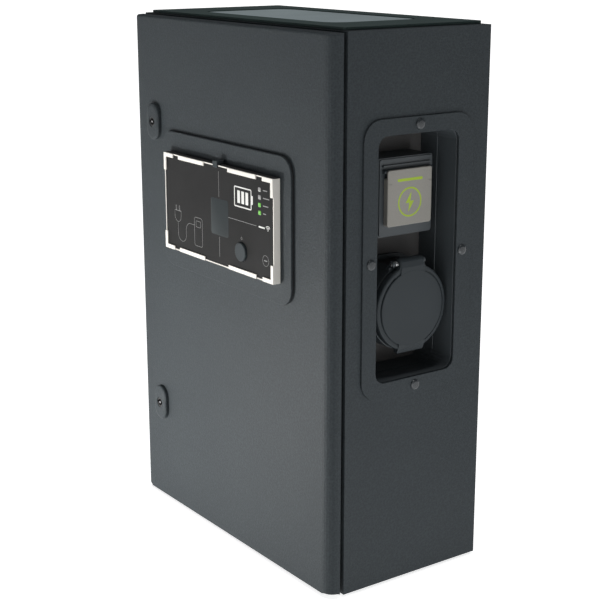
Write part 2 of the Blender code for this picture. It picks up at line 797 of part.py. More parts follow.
def make_tray(centre, back, cream, door):
    """Shallow tray that holds the panel, with corner and edge tabs that lap over it."""
    half_x = TRAY_SIZE[0] / 2
    half_z = TRAY_SIZE[1] / 2
    bm = bmesh.new()
    add_prism(bm, "Y", rounded_rect(TRAY_SIZE, 0.0004, centre, 1), back, TRAY_RIM)
    tray = to_object("display_tray", bm, cream, door, door.location)

    tab_sets = {
        "corner_tabs_across": (0.0, CORNER_TAB, TAB_LAP),
        "corner_tabs_upright": (0.0, TAB_LAP, CORNER_TAB),
        "edge_tabs": (half_x - EDGE_TABS_OUT - EDGE_TAB / 2, EDGE_TAB, TAB_LAP),
    }
    for label, (inset, reach_x, reach_z) in tab_sets.items():
        tabs = bmesh.new()
        for side_x in (-1, 1):
            for side_z in (-1, 1):
                start = (centre[0] + side_x * (half_x - inset), centre[1] + side_z * half_z)
                add_tab(tabs, start, side_x * reach_x, side_z * reach_z, back)
        join(tray, tabs, label)

    pocket = bmesh.new()
    pocket_size = (TRAY_SIZE[0] - 2 * TRAY_WALL, TRAY_SIZE[1] - 2 * TRAY_WALL)
    add_prism(pocket, "Y", rounded_rect(pocket_size, 0.0010, centre, 2), back - 0.0015, TRAY_RIM)
    cut(tray, pocket, "pocket")

    passage = bmesh.new()
    add_prism(passage, "Y", rounded_rect((0.180, 0.064), 0.004, centre, 1), back + 0.01, back - 0.005)
    cut(tray, passage, "passage")


def add_tab(bm, start, reach_x, reach_z, back):
    """A block from a point on the tray's edge inwards. The pocket leaves its front layer as the tab."""
    x, z = start
    low = (min(x, x - reach_x), TRAY_FRONT, min(z, z - reach_z))
    high = (max(x, x - reach_x), back - 0.0010, max(z, z - reach_z))
    add_box(bm, low, high)


# ---------------------------------------------------------------- side recess


def plug_places():
    """The four plugs of the trim plate, above, below, in front of and behind the recess."""
    reach_y, reach_z = PLUG_REACH
    return [
        (WELL_Y, WELL_Z + reach_z),
        (WELL_Y, WELL_Z - reach_z),
        (WELL_Y - reach_y, WELL_Z),
        (WELL_Y + reach_y, WELL_Z),
    ]


def make_recess(paint, dark, brown, plastic):
    flange_back = HALF_WIDTH - SHEET - GAP - WELL_WALL
    inner = rounded_rect(WELL_SIZE, WELL_RADIUS, (WELL_Y, WELL_Z))
    narrow_size = (WELL_SIZE[0] - 2 * WELL_STEP, WELL_SIZE[1] - 2 * WELL_STEP)
    narrow = rounded_rect(narrow_size, WELL_RADIUS - WELL_STEP, (WELL_Y, WELL_Z))
    outer_size = (WELL_SIZE[0] + 2 * WELL_WALL, WELL_SIZE[1] + 2 * WELL_WALL)
    outer = rounded_rect(outer_size, WELL_RADIUS + WELL_WALL, (WELL_Y, WELL_Z))
    bm = bmesh.new()
    flange_size = (WELL_SIZE[0] + 0.028, WELL_SIZE[1] + 0.030)
    flange = rounded_rect(flange_size, 0.016, (WELL_Y, WELL_Z))
    steps = [
        (narrow, WELL_BACK + GAP),
        (outer, WELL_BACK + GAP),
        (outer, flange_back),
        (flange, flange_back),
        (flange, flange_back + WELL_WALL),
        (inner, flange_back + WELL_WALL),
        (inner, WELL_STEP_X),
        (narrow, WELL_STEP_X),
    ]
    loops = [add_loop(bm, "X", outline, x) for outline, x in steps]
    for first, second in zip(loops, loops[1:] + loops[:1]):
        bridge(bm, first, second)
    well = to_object("socket_well", bm, dark)
    holes = bmesh.new()
    for centre in plug_places():
        add_cylinder(holes, "X", centre, 0.0034, flange_back - 0.006, flange_back + 0.006, 12)
    cut(well, holes)

    bm = bmesh.new()
    trim = rounded_rect(TRIM_SIZE, TRIM_RADIUS, (WELL_Y + 0.0008, WELL_Z), 6)
    trim_hole = rounded_rect(WELL_SIZE, WELL_RADIUS, (WELL_Y, WELL_Z), 6)
    trim_back = HALF_WIDTH + GAP
    trim_front = trim_back + TRIM_DEPTH
    add_ring(bm, "X", trim, trim_hole, trim_back, trim_front)
    trim_object = to_object("recess_trim_plate", bm, paint)
    holes = bmesh.new()
    for centre in plug_places():
        add_cylinder(holes, "X", centre, 0.0034, trim_back - 0.006, trim_back + 0.006, 12)
    cut(trim_object, holes)

    for label, centre in zip(("top", "bottom", "front", "rear"), plug_places()):
        bm = bmesh.new()
        profile = [
            (0.0, flange_back - 0.0015),
            (0.0030, flange_back - 0.0015),
            (0.0030, trim_front + GAP),
            (0.0058, trim_front + GAP),
            (0.0054, trim_front + 0.0012),
            (0.0036, trim_front + 0.0020),
            (0.0, trim_front + 0.0023),
        ]
        add_turned(bm, "X", centre, profile, 20)
        to_object(f"trim_plug_{label}", bm, plastic)

    bm = bmesh.new()
    back_size = (WELL_SIZE[0] + 0.020, WELL_SIZE[1] + 0.020)
    back_outline = rounded_rect(back_size, 0.006, (WELL_Y, WELL_Z), 2)
    add_prism(bm, "X", back_outline, WELL_BACK - 0.002, WELL_BACK)
    back_plate = to_object("outlet_mounting_plate", bm, brown)
    holes = bmesh.new()
    socket_hole = rounded_rect((0.050, 0.050), 0.010, (OUTLET_Y, SOCKET_Z), 3)
    add_prism(holes, "X", socket_hole, WELL_BACK - 0.01, WELL_BACK + 0.01)
    add_cylinder(holes, "X", (OUTLET_Y, TYPE2_Z), 0.0340, WELL_BACK - 0.01, WELL_BACK + 0.01, 32)
    cut(back_plate, holes)


def make_domestic_socket(dark, grey, steel):
    centre = (OUTLET_Y, SOCKET_Z - 0.0004)
    hinge = (FLAP_HINGE_X, FLAP_HINGE_Z)
    seat = WELL_BACK + GAP
    half = FLAP_SIZE[0] / 2
    outer = rounded_rect(SOCKET_SIZE, 0.003, centre, 3)
    inset = (SOCKET_SIZE[0] - 2 * SOCKET_RIM, SOCKET_SIZE[1] - 2 * SOCKET_RIM)
    inner = rounded_rect(inset, 0.002, centre, 3)
    bm = bmesh.new()
    add_prism(bm, "X", outer, seat, SOCKET_FACE - SOCKET_RIM)
    frame = to_object("domestic_socket_frame", bm, dark)
    face = bmesh.new()
    add_prism(face, "X", inner, seat + 0.010, SOCKET_FACE)
    join(frame, face, "face")
    lugs = bmesh.new()
    root = SOCKET_FACE - 0.0010
    lug = arc(hinge, 0.0019, -90, 90, 8) + [(root, FLAP_HINGE_Z + 0.0019), (root, FLAP_HINGE_Z - 0.0019)]
    for side in (-1, 1):
        ends = sorted((OUTLET_Y + side * (half - 0.0040), OUTLET_Y + side * (half + 0.0022)))
        add_prism(lugs, "Y", lug, ends[0], ends[1])
    join(frame, lugs, "hinge_lugs")
    rail = bmesh.new()
    rail_low = (root, OUTLET_Y - half - 0.0022, FLAP_HINGE_Z + 0.0048)
    rail_high = (SOCKET_FACE + 0.0022, OUTLET_Y + half + 0.0022, FLAP_HINGE_Z + 0.0066)
    add_box(rail, rail_low, rail_high)
    join(frame, rail, "rail")
    cup = bmesh.new()
    add_turned(cup, "X", centre, [(0.0, seat + 0.008), (0.0205, seat + 0.008), (0.0205, 0.2), (0.0, 0.2)], 32)
    cut(frame, cup, "cup")
    pin_hole = bmesh.new()
    pin_half = half + 0.0014
    pin_fit = circle(hinge, FLAP_PIN_RADIUS + 0.0001, 12)
    add_prism(pin_hole, "Y", pin_fit, OUTLET_Y - pin_half, OUTLET_Y + pin_half)
    cut(frame, pin_hole, "pin_hole")

    bm = bmesh.new()
    floor = seat + 0.008 + GAP
    profile = [(0.0, floor), (0.0202, floor), (0.0202, floor + 0.009), (0.0, floor + 0.009)]
    add_turned(bm, "X", centre, profile, 32)
    insert = to_object("domestic_socket_insert", bm, dark)
    contacts = bmesh.new()
    for side in (-1, 1):
        place = (OUTLET_Y + side * 0.0095, centre[1])
        add_cylinder(contacts, "X", place, 0.0025, floor + 0.002, floor + 0.02, 12)
    cut(insert, contacts, "contact_holes")
    earth = bmesh.new()
    add_cylinder(earth, "X", (OUTLET_Y, centre[1] + 0.010), 0.0024, floor + 0.004, floor + 0.019, 12)
    join(insert, earth, "earth_pin")

    bm = bmesh.new()
    pin_ends = (OUTLET_Y - pin_half + GAP, OUTLET_Y + pin_half - GAP)
    add_prism(bm, "Y", circle(hinge, FLAP_PIN_RADIUS, 12), pin_ends[0], pin_ends[1])
    to_object("flap_hinge_pin", bm, steel)
    make_domestic_flap(hinge, grey)


def make_domestic_flap(hinge, grey):
    """Moulded flap: a front plate with walls behind it, and a knuckle between the housing's two lugs."""
    origin = (hinge[0], OUTLET_Y, hinge[1])
    flap_pivot = pivot("flap_axis", origin)
    half = FLAP_SIZE[0] / 2
    back = SOCKET_FACE + 0.0004
    front = back + FLAP_DEPTH
    bottom = FLAP_TOP - FLAP_SIZE[1]
    walls_top = FLAP_TOP - FLAP_NOTCH[1]

    def outline(top, chamfer):
        return [
            (OUTLET_Y - half, bottom + 0.002),
            (OUTLET_Y - half + 0.002, bottom),
            (OUTLET_Y + half - 0.002, bottom),
            (OUTLET_Y + half, bottom + 0.002),
            (OUTLET_Y + half, top - chamfer),
            (OUTLET_Y + half - chamfer, top),
            (OUTLET_Y - half + chamfer, top),
            (OUTLET_Y - half, top - chamfer),
        ]

    bm = bmesh.new()
    add_prism(bm, "X", outline(FLAP_TOP, 0.0016), front - FLAP_PLATE, front)
    bevel_where(bm, lambda co: co.x > front - 1e-6, 0.0008, 2)
    flap = to_object("domestic_flap", bm, grey, flap_pivot, origin)
    flap.location = (0.0, 0.0, 0.0)
    walls = bmesh.new()
    add_prism(walls, "X", outline(walls_top, 0.0010), back, front - FLAP_PLATE / 2)
    join(flap, walls, "walls")
    hollow = bmesh.new()
    hollow_low = (back - 0.01, OUTLET_Y - half + 0.003, bottom + 0.003)
    add_box(hollow, hollow_low, (front - 0.0024, OUTLET_Y + half - 0.003, walls_top - 0.004))
    cut(flap, hollow, "hollow")
    knuckle = bmesh.new()
    plate_middle = front - FLAP_PLATE / 2
    side = arc(hinge, 0.0020, 125, 180, 5)
    side += [(hinge[0] - 0.0020, walls_top - 0.002), (plate_middle, walls_top - 0.002)]
    side.append((plate_middle, FLAP_TOP - 0.0002))
    knuckle_half = half - FLAP_NOTCH[0]
    add_prism(knuckle, "Y", side, OUTLET_Y - knuckle_half, OUTLET_Y + knuckle_half)
    join(flap, knuckle, "knuckle")
    bore = bmesh.new()
    add_prism(bore, "Y", circle(hinge, FLAP_PIN_RADIUS + 0.0002, 12), OUTLET_Y - 0.04, OUTLET_Y + 0.04)
    cut(flap, bore, "bore")
    creases = bmesh.new()
    for side in (-1, 1):
        ends = sorted((OUTLET_Y + side * (half - 0.0050), OUTLET_Y + side * (half + 0.0010)))
        crease_low = (front - 0.0005, ends[0], FLAP_TOP - 0.0149)
        add_box(creases, crease_low, (front + 0.01, ends[1], FLAP_TOP - 0.0142))
    cut(flap, creases, "creases")


def make_type2_socket(dark, black, lid_plastic, steel):
    centre = (OUTLET_Y, TYPE2_Z)
    seat = WELL_BACK + GAP
    bm = bmesh.new()
    flange = rounded_rect((0.0990, 0.0990), 0.038, centre, 8)
    add_prism(bm, "X", flange, seat, seat + 0.004)
    body = to_object("type2_socket_body", bm, dark)
    barrel = bmesh.new()
    add_cylinder(barrel, "X", centre, TYPE2_RADIUS, seat + 0.002, TYPE2_FACE, 48)
    join(body, barrel, "barrel")
    ears = bmesh.new()
    ear_centre = (LID_HINGE_X, LID_HINGE_Z)
    front = TYPE2_FACE - 0.0004
    foot = [(seat + 0.026, TYPE2_Z + 0.030), (front, TYPE2_Z + 0.030), (front, TYPE2_Z + 0.0450)]
    outline = arc(ear_centre, EAR_RADIUS, -40, 170, 10) + foot
    for low, high in EARS:
        add_prism(ears, "Y", outline, OUTLET_Y + low, OUTLET_Y + high)
    join(body, ears, "hinge_ears")
    pocket = bmesh.new()
    pocket_half = LID_NECK_HALF + 0.0006
    pocket_low = (LOCK_BACK_X - GAP, OUTLET_Y - pocket_half, LOCK_POCKET_Z)
    add_box(pocket, pocket_low, (TYPE2_FACE + 0.01, OUTLET_Y + pocket_half, LOCK_POCKET_Z + 0.03))
    cut(body, pocket, "lock_pocket")
    bore = bmesh.new()
    floor = WELL_BACK + 0.010
    profile = [(0.0, seat - 0.01), (0.0258, seat - 0.01), (0.0258, floor), (TYPE2_BORE, floor)]
    profile += [(TYPE2_BORE, TYPE2_FACE + 0.01), (0.0, TYPE2_FACE + 0.01)]
    add_turned(bore, "X", centre, profile, 48)
    cut(body, bore, "bore")
    small = bmesh.new()
    add_cylinder(small, "Z", (LOCK_PIN_X, OUTLET_Y), 0.0034, TYPE2_Z + 0.020, LOCK_POCKET_Z + 0.01, 16)
    pin_ends = (OUTLET_Y + EARS[0][0] - LID_PIN_REACH, OUTLET_Y + EARS[1][1] + LID_PIN_REACH)
    add_prism(small, "Y", circle(ear_centre, 0.0021, 16), pin_ends[0], pin_ends[1])
    cut(body, small, "pin_holes")

    bm = bmesh.new()
    carrier_front = TYPE2_FACE - 0.010
    rear = WELL_BACK - 0.020
    add_cylinder(bm, "X", centre, 0.0255, rear, carrier_front, 40)
    carrier = to_object("type2_contact_carrier", bm, black)
    holes = bmesh.new()
    for place in contact_places():
        add_cylinder(holes, "X", place, CONTACT_HOLE, WELL_BACK + 0.002, carrier_front + 0.01, 14)
    cut(carrier, holes, "contact_holes")

    bm = bmesh.new()
    plate_low = rear - GAP - 0.003
    add_cylinder(bm, "X", centre, 0.0260, plate_low, rear - GAP, 32)
    to_object("type2_terminal_cover", bm, black)

    bm = bmesh.new()
    add_prism(bm, "Y", circle(ear_centre, 0.0019, 16), pin_ends[0], pin_ends[1])
    to_object("lid_hinge_pin", bm, steel)

    make_type2_lid(centre, ear_centre, lid_plastic)
    make_plug_lock(black, steel)


def contact_places():
    """Seven contacts: two small ones above, three and two power contacts below."""
    rows = ((0.0105, (-0.0050, 0.0050)), (0.0, (-0.0140, 0.0, 0.0140)), (-0.0120, (-0.0075, 0.0075)))
    return [(OUTLET_Y + y, TYPE2_Z + z) for z, row in rows for y in row]


def make_type2_lid(centre, hinge, plastic):
    """Round lid. Its raised disc runs on into a hinge neck at the top and a finger tab at the bottom."""
    origin = (hinge[0], OUTLET_Y, hinge[1])
    lid_pivot = pivot("lid_axis", origin)
    bm = bmesh.new()
    profile = [
        (0.0, LID_BACK),
        (LID_RADIUS - 0.0006, LID_BACK),
        (LID_RADIUS, LID_BACK + 0.0008),
        (LID_RADIUS, LID_RIM - 0.0020),
        (LID_RADIUS - 0.0006, LID_RIM - 0.0006),
        (LID_RADIUS - 0.0020, LID_RIM),
        (LID_DISC_RADIUS + 0.0012, LID_RIM),
        (LID_DISC_RADIUS + 0.0010, LID_RIM - 0.0008),
        (LID_DISC_RADIUS, LID_RIM - 0.0008),
        (LID_DISC_RADIUS - 0.0002, LID_FRONT - 0.0005),
        (LID_DISC_RADIUS - 0.0010, LID_FRONT),
        (0.0, LID_FRONT),
    ]
    add_turned(bm, "X", centre, profile, 64)
    lid = to_object("type2_lid", bm, plastic, lid_pivot, origin)
    lid.location = (0.0, 0.0, 0.0)

    shoulders = bmesh.new()
    outline = neck_outline()
    add_prism(shoulders, "X", outline, LID_BACK + 0.0006, LID_RIM - 0.0002)
    join(lid, shoulders, "shoulders")

    neck = bmesh.new()
    back = LID_BACK + 0.0004
    side = arc(hinge, LID_HINGE_RADIUS, 20, 215, 12) + [(back, TYPE2_Z + 0.0420), (back, TYPE2_Z + 0.030)]
    side.append((LID_FRONT - 0.0001, TYPE2_Z + 0.030))
    side.append((LID_FRONT - 0.0001, TYPE2_Z + 0.0455))
    add_prism(neck, "Y", side, OUTLET_Y - LID_NECK_HALF, OUTLET_Y + LID_NECK_HALF)
    rounded_above = hinge[1] - 0.0042
    for end in (OUTLET_Y - LID_NECK_HALF, OUTLET_Y + LID_NECK_HALF):
        bevel_where(neck, lambda co, end=end: abs(co.y - end) < 1e-6 and co.z > rounded_above, 0.0026, 3)
    join(lid, neck, "neck")

    tab = bmesh.new()
    tip = TYPE2_Z - LID_RADIUS - 0.0015
    side = [
        (LID_BACK + 0.0010, TYPE2_Z - 0.030),
        (LID_BACK + 0.0010, tip + 0.0005),
        (LID_BACK + 0.0055, tip),
        (LID_FRONT - 0.0030, tip + 0.0012),
        (LID_FRONT - 0.0008, tip + 0.0070),
        (LID_FRONT - 0.0001, tip + 0.0095),
        (LID_FRONT - 0.0001, TYPE2_Z - 0.030),
    ]
    add_prism(tab, "Y", side, OUTLET_Y - LID_TAB_HALF, OUTLET_Y + LID_TAB_HALF)
    join(lid, tab, "finger_tab")
    bore = bmesh.new()
    add_prism(bore, "Y", circle(hinge, 0.0022, 16), OUTLET_Y - 0.03, OUTLET_Y + 0.03)
    cut(lid, bore, "bore")


def neck_outline():
    """Front view of the neck's foot, with a hollow fillet on each side where it meets the round lid."""
    fillet = 0.0070
    top = TYPE2_Z + 0.0480
    right = arc((OUTLET_Y + LID_NECK_HALF + fillet, top), fillet, 180, 262, 6)
    left = arc((OUTLET_Y - LID_NECK_HALF - fillet, top), fillet, -82, 0, 6)
    foot = TYPE2_Z + 0.034
    return right + [(OUTLET_Y + 0.024, foot), (OUTLET_Y - 0.024, foot)] + left


def make_plug_lock(black, steel):
    """Actuator in the top of the Type 2 outlet, whose pin drops into the socket to hold the plug."""
    seat = LOCK_POCKET_Z + GAP
    bm = bmesh.new()
    add_box(
        bm,
        (LOCK_BACK_X, OUTLET_Y - LID_NECK_HALF, seat),
        (LOCK_FRONT_X, OUTLET_Y + LID_NECK_HALF, LOCK_TOP),
    )
    bevel_sharp(bm, 0.0012, 2)
    actuator = to_object("plug_lock_actuator", bm, black)
    bore = bmesh.new()
    add_cylinder(bore, "Z", (LOCK_PIN_X, OUTLET_Y), 0.0034, seat - 0.01, LOCK_TOP - 0.0020, 16)
    cut(actuator, bore)

    origin = (LOCK_PIN_X, OUTLET_Y, seat)
    pin_pivot = pivot("plug_lock_axis", origin)
    bm = bmesh.new()
    low = TYPE2_Z + TYPE2_BORE + 0.0010
    high = LOCK_TOP - 0.0024
    profile = [(0.0, low), (0.0025, low), (0.0030, low + 0.001), (0.0030, high), (0.0, high)]
    add_turned(bm, "Z", (LOCK_PIN_X, OUTLET_Y), profile, 16)
    pin = to_object("plug_lock_pin", bm, steel, pin_pivot, origin)
    pin.location = (0.0, 0.0, 0.0)


def main():
    clear_scene()
    paint = make_material("grey_paint", (0.085, 0.097, 0.104), 0.62)
    green = make_material("gasket_green", (0.024, 0.042, 0.040), 0.70)
    metal = make_material("gland_plate_grey", (0.20, 0.21, 0.22), 0.60)
    zinc = make_material("zinc", (0.55, 0.56, 0.56), 0.35, 1.0)
    steel = make_material("steel", (0.45, 0.45, 0.46), 0.32, 1.0)
    brass = make_material("brass", (0.62, 0.46, 0.20), 0.35, 1.0)
    black = make_material("black_plastic", (0.012, 0.012, 0.013), 0.50)
    dark = make_material("recess_plastic", (0.016, 0.020, 0.022), 0.55)
    brown = make_material("outlet_plate", (0.030, 0.027, 0.026), 0.60)
    lid_plastic = make_material("lid_plastic", (0.040, 0.048, 0.053), 0.50)
    grey = make_material("light_grey_plastic", (0.42, 0.41, 0.38), 0.45)
    device_grey = make_material("device_grey", (0.18, 0.19, 0.20), 0.50)
    white = make_material("device_white", (0.75, 0.75, 0.73), 0.45)
    cream = make_material("tray_cream", (0.83, 0.80, 0.74), 0.40)
    circuit = make_material("circuit_green", (0.02, 0.12, 0.05), 0.40)
    button_grey = make_material("button_grey", (0.065, 0.084, 0.093), 0.45)
    rubber = make_material("seal_black", (0.010, 0.010, 0.011), 0.80)

    make_shell(paint)
    make_gasket_frames(green)
    make_gland_plates(metal)
    make_supply_gland(black)
    make_mounting_plate(zinc)
    make_rail("lower_din_rail", RAIL_HEIGHTS[0], zinc)
    make_rail("upper_din_rail", RAIL_HEIGHTS[1], zinc)
    make_devices(device_grey, white, circuit, brass, black)

    door = pivot("door_axis", (HINGE_X, HINGE_Y, MID_HEIGHT))
    make_door(paint, rubber, door)
    for index, z in enumerate(HINGE_HEIGHTS):
        make_hinge(index, z, zinc, door)
    for index, z in enumerate(LOCK_HEIGHTS):
        make_lock(index, z, paint, steel, door)
    make_display(paint, rubber, cream, black, circuit, button_grey, door)

    make_recess(paint, dark, brown, button_grey)
    make_domestic_socket(dark, grey, steel)
    make_type2_socket(dark, black, lid_plastic, steel)


main()
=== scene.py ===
"""Looks of the ev charging cabinet: its finishes, fine detail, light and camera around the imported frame.

Metres, in the frame of the CAD model: +Z up, -Y is the front with the door, +X the side with the outlets.
"""

import math

import bmesh
import bpy
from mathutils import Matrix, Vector


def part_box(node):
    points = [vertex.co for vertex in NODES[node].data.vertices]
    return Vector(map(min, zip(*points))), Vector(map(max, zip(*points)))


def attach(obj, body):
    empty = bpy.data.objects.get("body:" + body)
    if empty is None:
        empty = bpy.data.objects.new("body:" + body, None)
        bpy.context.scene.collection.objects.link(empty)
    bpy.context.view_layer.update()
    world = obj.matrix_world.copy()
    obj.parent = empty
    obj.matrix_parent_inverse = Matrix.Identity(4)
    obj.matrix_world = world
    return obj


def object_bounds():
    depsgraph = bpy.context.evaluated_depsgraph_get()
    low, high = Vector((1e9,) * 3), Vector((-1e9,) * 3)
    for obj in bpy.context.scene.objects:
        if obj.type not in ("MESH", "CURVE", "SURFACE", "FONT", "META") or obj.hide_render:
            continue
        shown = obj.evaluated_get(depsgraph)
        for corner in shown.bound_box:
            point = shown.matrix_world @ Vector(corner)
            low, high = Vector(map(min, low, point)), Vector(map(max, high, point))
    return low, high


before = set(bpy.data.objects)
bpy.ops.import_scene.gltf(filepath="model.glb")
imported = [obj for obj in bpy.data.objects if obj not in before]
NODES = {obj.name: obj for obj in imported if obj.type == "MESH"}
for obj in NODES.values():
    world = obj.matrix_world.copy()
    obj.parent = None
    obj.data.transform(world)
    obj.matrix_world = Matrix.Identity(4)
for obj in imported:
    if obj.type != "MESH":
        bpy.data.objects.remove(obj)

CAD_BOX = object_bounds()

# Camera, solved from the edges of the case
CAMERA_PLACE = (1.27467, -0.91546, 0.69743)
CAMERA_TURN = (75.073, 0.0, 54.452)
CAMERA_LENS = 82.34
CAMERA_SHIFT = (-0.0057, -0.0051)

WELD = 1e-5
PRINT = 0.00006  # how far a printed mark stands up
THIN_LINE = 0.00045

# Control panel, from the middle of its front: heights of the four lamps, and the label beside each
LAMP_ROWS = (0.0415, 0.0332, 0.0250, 0.0166)
LAMP_KEYS = ("white_lens", "white_lens", "green_lens", "green_lens")
LAMP_U = 0.0855
LAMP_SIZE = (0.0050, 0.0046)
LABEL_WIDTHS = (0.0080, 0.0120, 0.0100, 0.0055)
LABEL_LEFT = 0.0920

# Floor, sky and sun. The floor gives light of its own, which hides the shadow round the foot.
FLOOR_SIZE = 60.0
FLOOR_GLOW = 0.78
WORLD_COLOUR = (0.93, 0.96, 1.0, 1.0)
WORLD_STRENGTH = 0.10
SUN_STRENGTH = 1.5
SUN_ANGLE = 20

# Area lights: place, point aimed at, width, watts and colour
AREA_LIGHTS = {
    "key": ((-0.24, -0.66, 0.055), (0.0, -0.11, 0.08), 0.09, 4.6, (1.0, 0.99, 0.97)),
    "fill": ((0.6, 0.05, 0.09), (0.2, 0.0, 0.20), 0.12, 0.35, (0.95, 0.98, 1.0)),
    "recess": ((1.5, -0.2, 0.45), (0.2, 0.0, 0.36), 0.9, 1.6, (0.95, 0.98, 1.0)),
}


# ---------------------------------------------------------------- material helpers


def start_material(name):
    material = bpy.data.materials.new(name)
    material.use_nodes = True
    tree = material.node_tree
    return material, tree, tree.nodes["Principled BSDF"]


def add_node(tree, kind, inputs=(), **settings):
    """Adds a node. Each input is a value, or the output socket of another node."""
    node = tree.nodes.new(kind)
    for key, value in settings.items():
        setattr(node, key, value)
    for socket, value in dict(inputs).items():
        if isinstance(value, bpy.types.NodeSocket):
            tree.links.new(value, node.inputs[socket])
        else:
            node.inputs[socket].default_value = value
    return node


def object_space(tree, stretch=(1.0, 1.0, 1.0)):
    place = add_node(tree, "ShaderNodeTexCoord").outputs["Object"]
    return add_node(tree, "ShaderNodeMapping", {"Vector": place, "Scale": stretch}).outputs["Vector"]


def noise(tree, place, size, detail=2.0):
    """Soft noise between 0 and 1, with features of about the given size in metres."""
    inputs = {"Vector": place, "Scale": 1.0 / size, "Detail": detail}
    return add_node(tree, "ShaderNodeTexNoise", inputs).outputs["Fac"]


def spread(tree, value, low, high, start=0.3, end=0.7):
    inputs = {"Value": value, "From Min": start, "From Max": end, "To Min": low, "To Max": high}
    return add_node(tree, "ShaderNodeMapRange", inputs).outputs["Result"]


def mix(tree, factor, first, second):
    node = add_node(tree, "ShaderNodeMix", {"Factor": factor}, data_type="RGBA")
    for socket, value in ((node.inputs[6], first), (node.inputs[7], second)):
        if isinstance(value, bpy.types.NodeSocket):
            tree.links.new(value, socket)
        else:
            socket.default_value = (*value, 1.0)
    return node.outputs[2]


def link(tree, output, shader, socket):
    tree.links.new(output, shader.inputs[socket])


def bump(tree, shader, height, depth):
    inputs = {"Height": height, "Distance": depth, "Strength": 1.0}
    link(tree, add_node(tree, "ShaderNodeBump", inputs).outputs["Normal"], shader, "Normal")


def textured(name, dark, light, rough, grain, depth, drift=0.10, level=0.5):
    """A moulded, coated or rubber surface: fine grain in colour, gloss and height, with slow drifts."""
    material, tree, shader = start_material(name)
    place = object_space(tree)
    fine = noise(tree, place, grain, 3.0)
    slow = noise(tree, place, 0.12, 2.0)
    tone = mix(tree, spread(tree, fine, 0.0, 1.0), dark, light)
    shade = spread(tree, slow, 1.0 - drift, 1.0 + drift)
    grey = add_node(tree, "ShaderNodeCombineColor", {"Red": shade, "Green": shade, "Blue": shade})
    multiply = add_node(tree, "ShaderNodeMix", {"Factor": 1.0}, data_type="RGBA", blend_type="MULTIPLY")
    tree.links.new(tone, multiply.inputs[6])
    tree.links.new(grey.outputs["Color"], multiply.inputs[7])
    link(tree, multiply.outputs[2], shader, "Base Color")
    link(tree, spread(tree, fine, rough[0], rough[1]), shader, "Roughness")
    bump(tree, shader, fine, depth)
    shader.inputs["Specular IOR Level"].default_value = level
    return material


def drawn_metal(name, dark, light, rough, along):
    """Bare or plated metal with fine draw lines along one axis and faint stains."""
    material, tree, shader = start_material(name)
    stretch = [1.0, 1.0, 1.0]
    stretch[along] = 0.04
    lines = noise(tree, object_space(tree, stretch), 0.0007, 3.0)
    stains = noise(tree, object_space(tree), 0.018, 4.0)
    blend = add_node(tree, "ShaderNodeMath", {0: lines, 1: stains}, operation="MULTIPLY").outputs["Value"]
    link(tree, mix(tree, spread(tree, blend, 0.0, 1.0, 0.15, 0.40), dark, light), shader, "Base Color")
    link(tree, spread(tree, stains, rough[0], rough[1]), shader, "Roughness")
    bump(tree, shader, lines, 0.00002)
    shader.inputs["Metallic"].default_value = 1.0
    return material


# ---------------------------------------------------------------- finishes


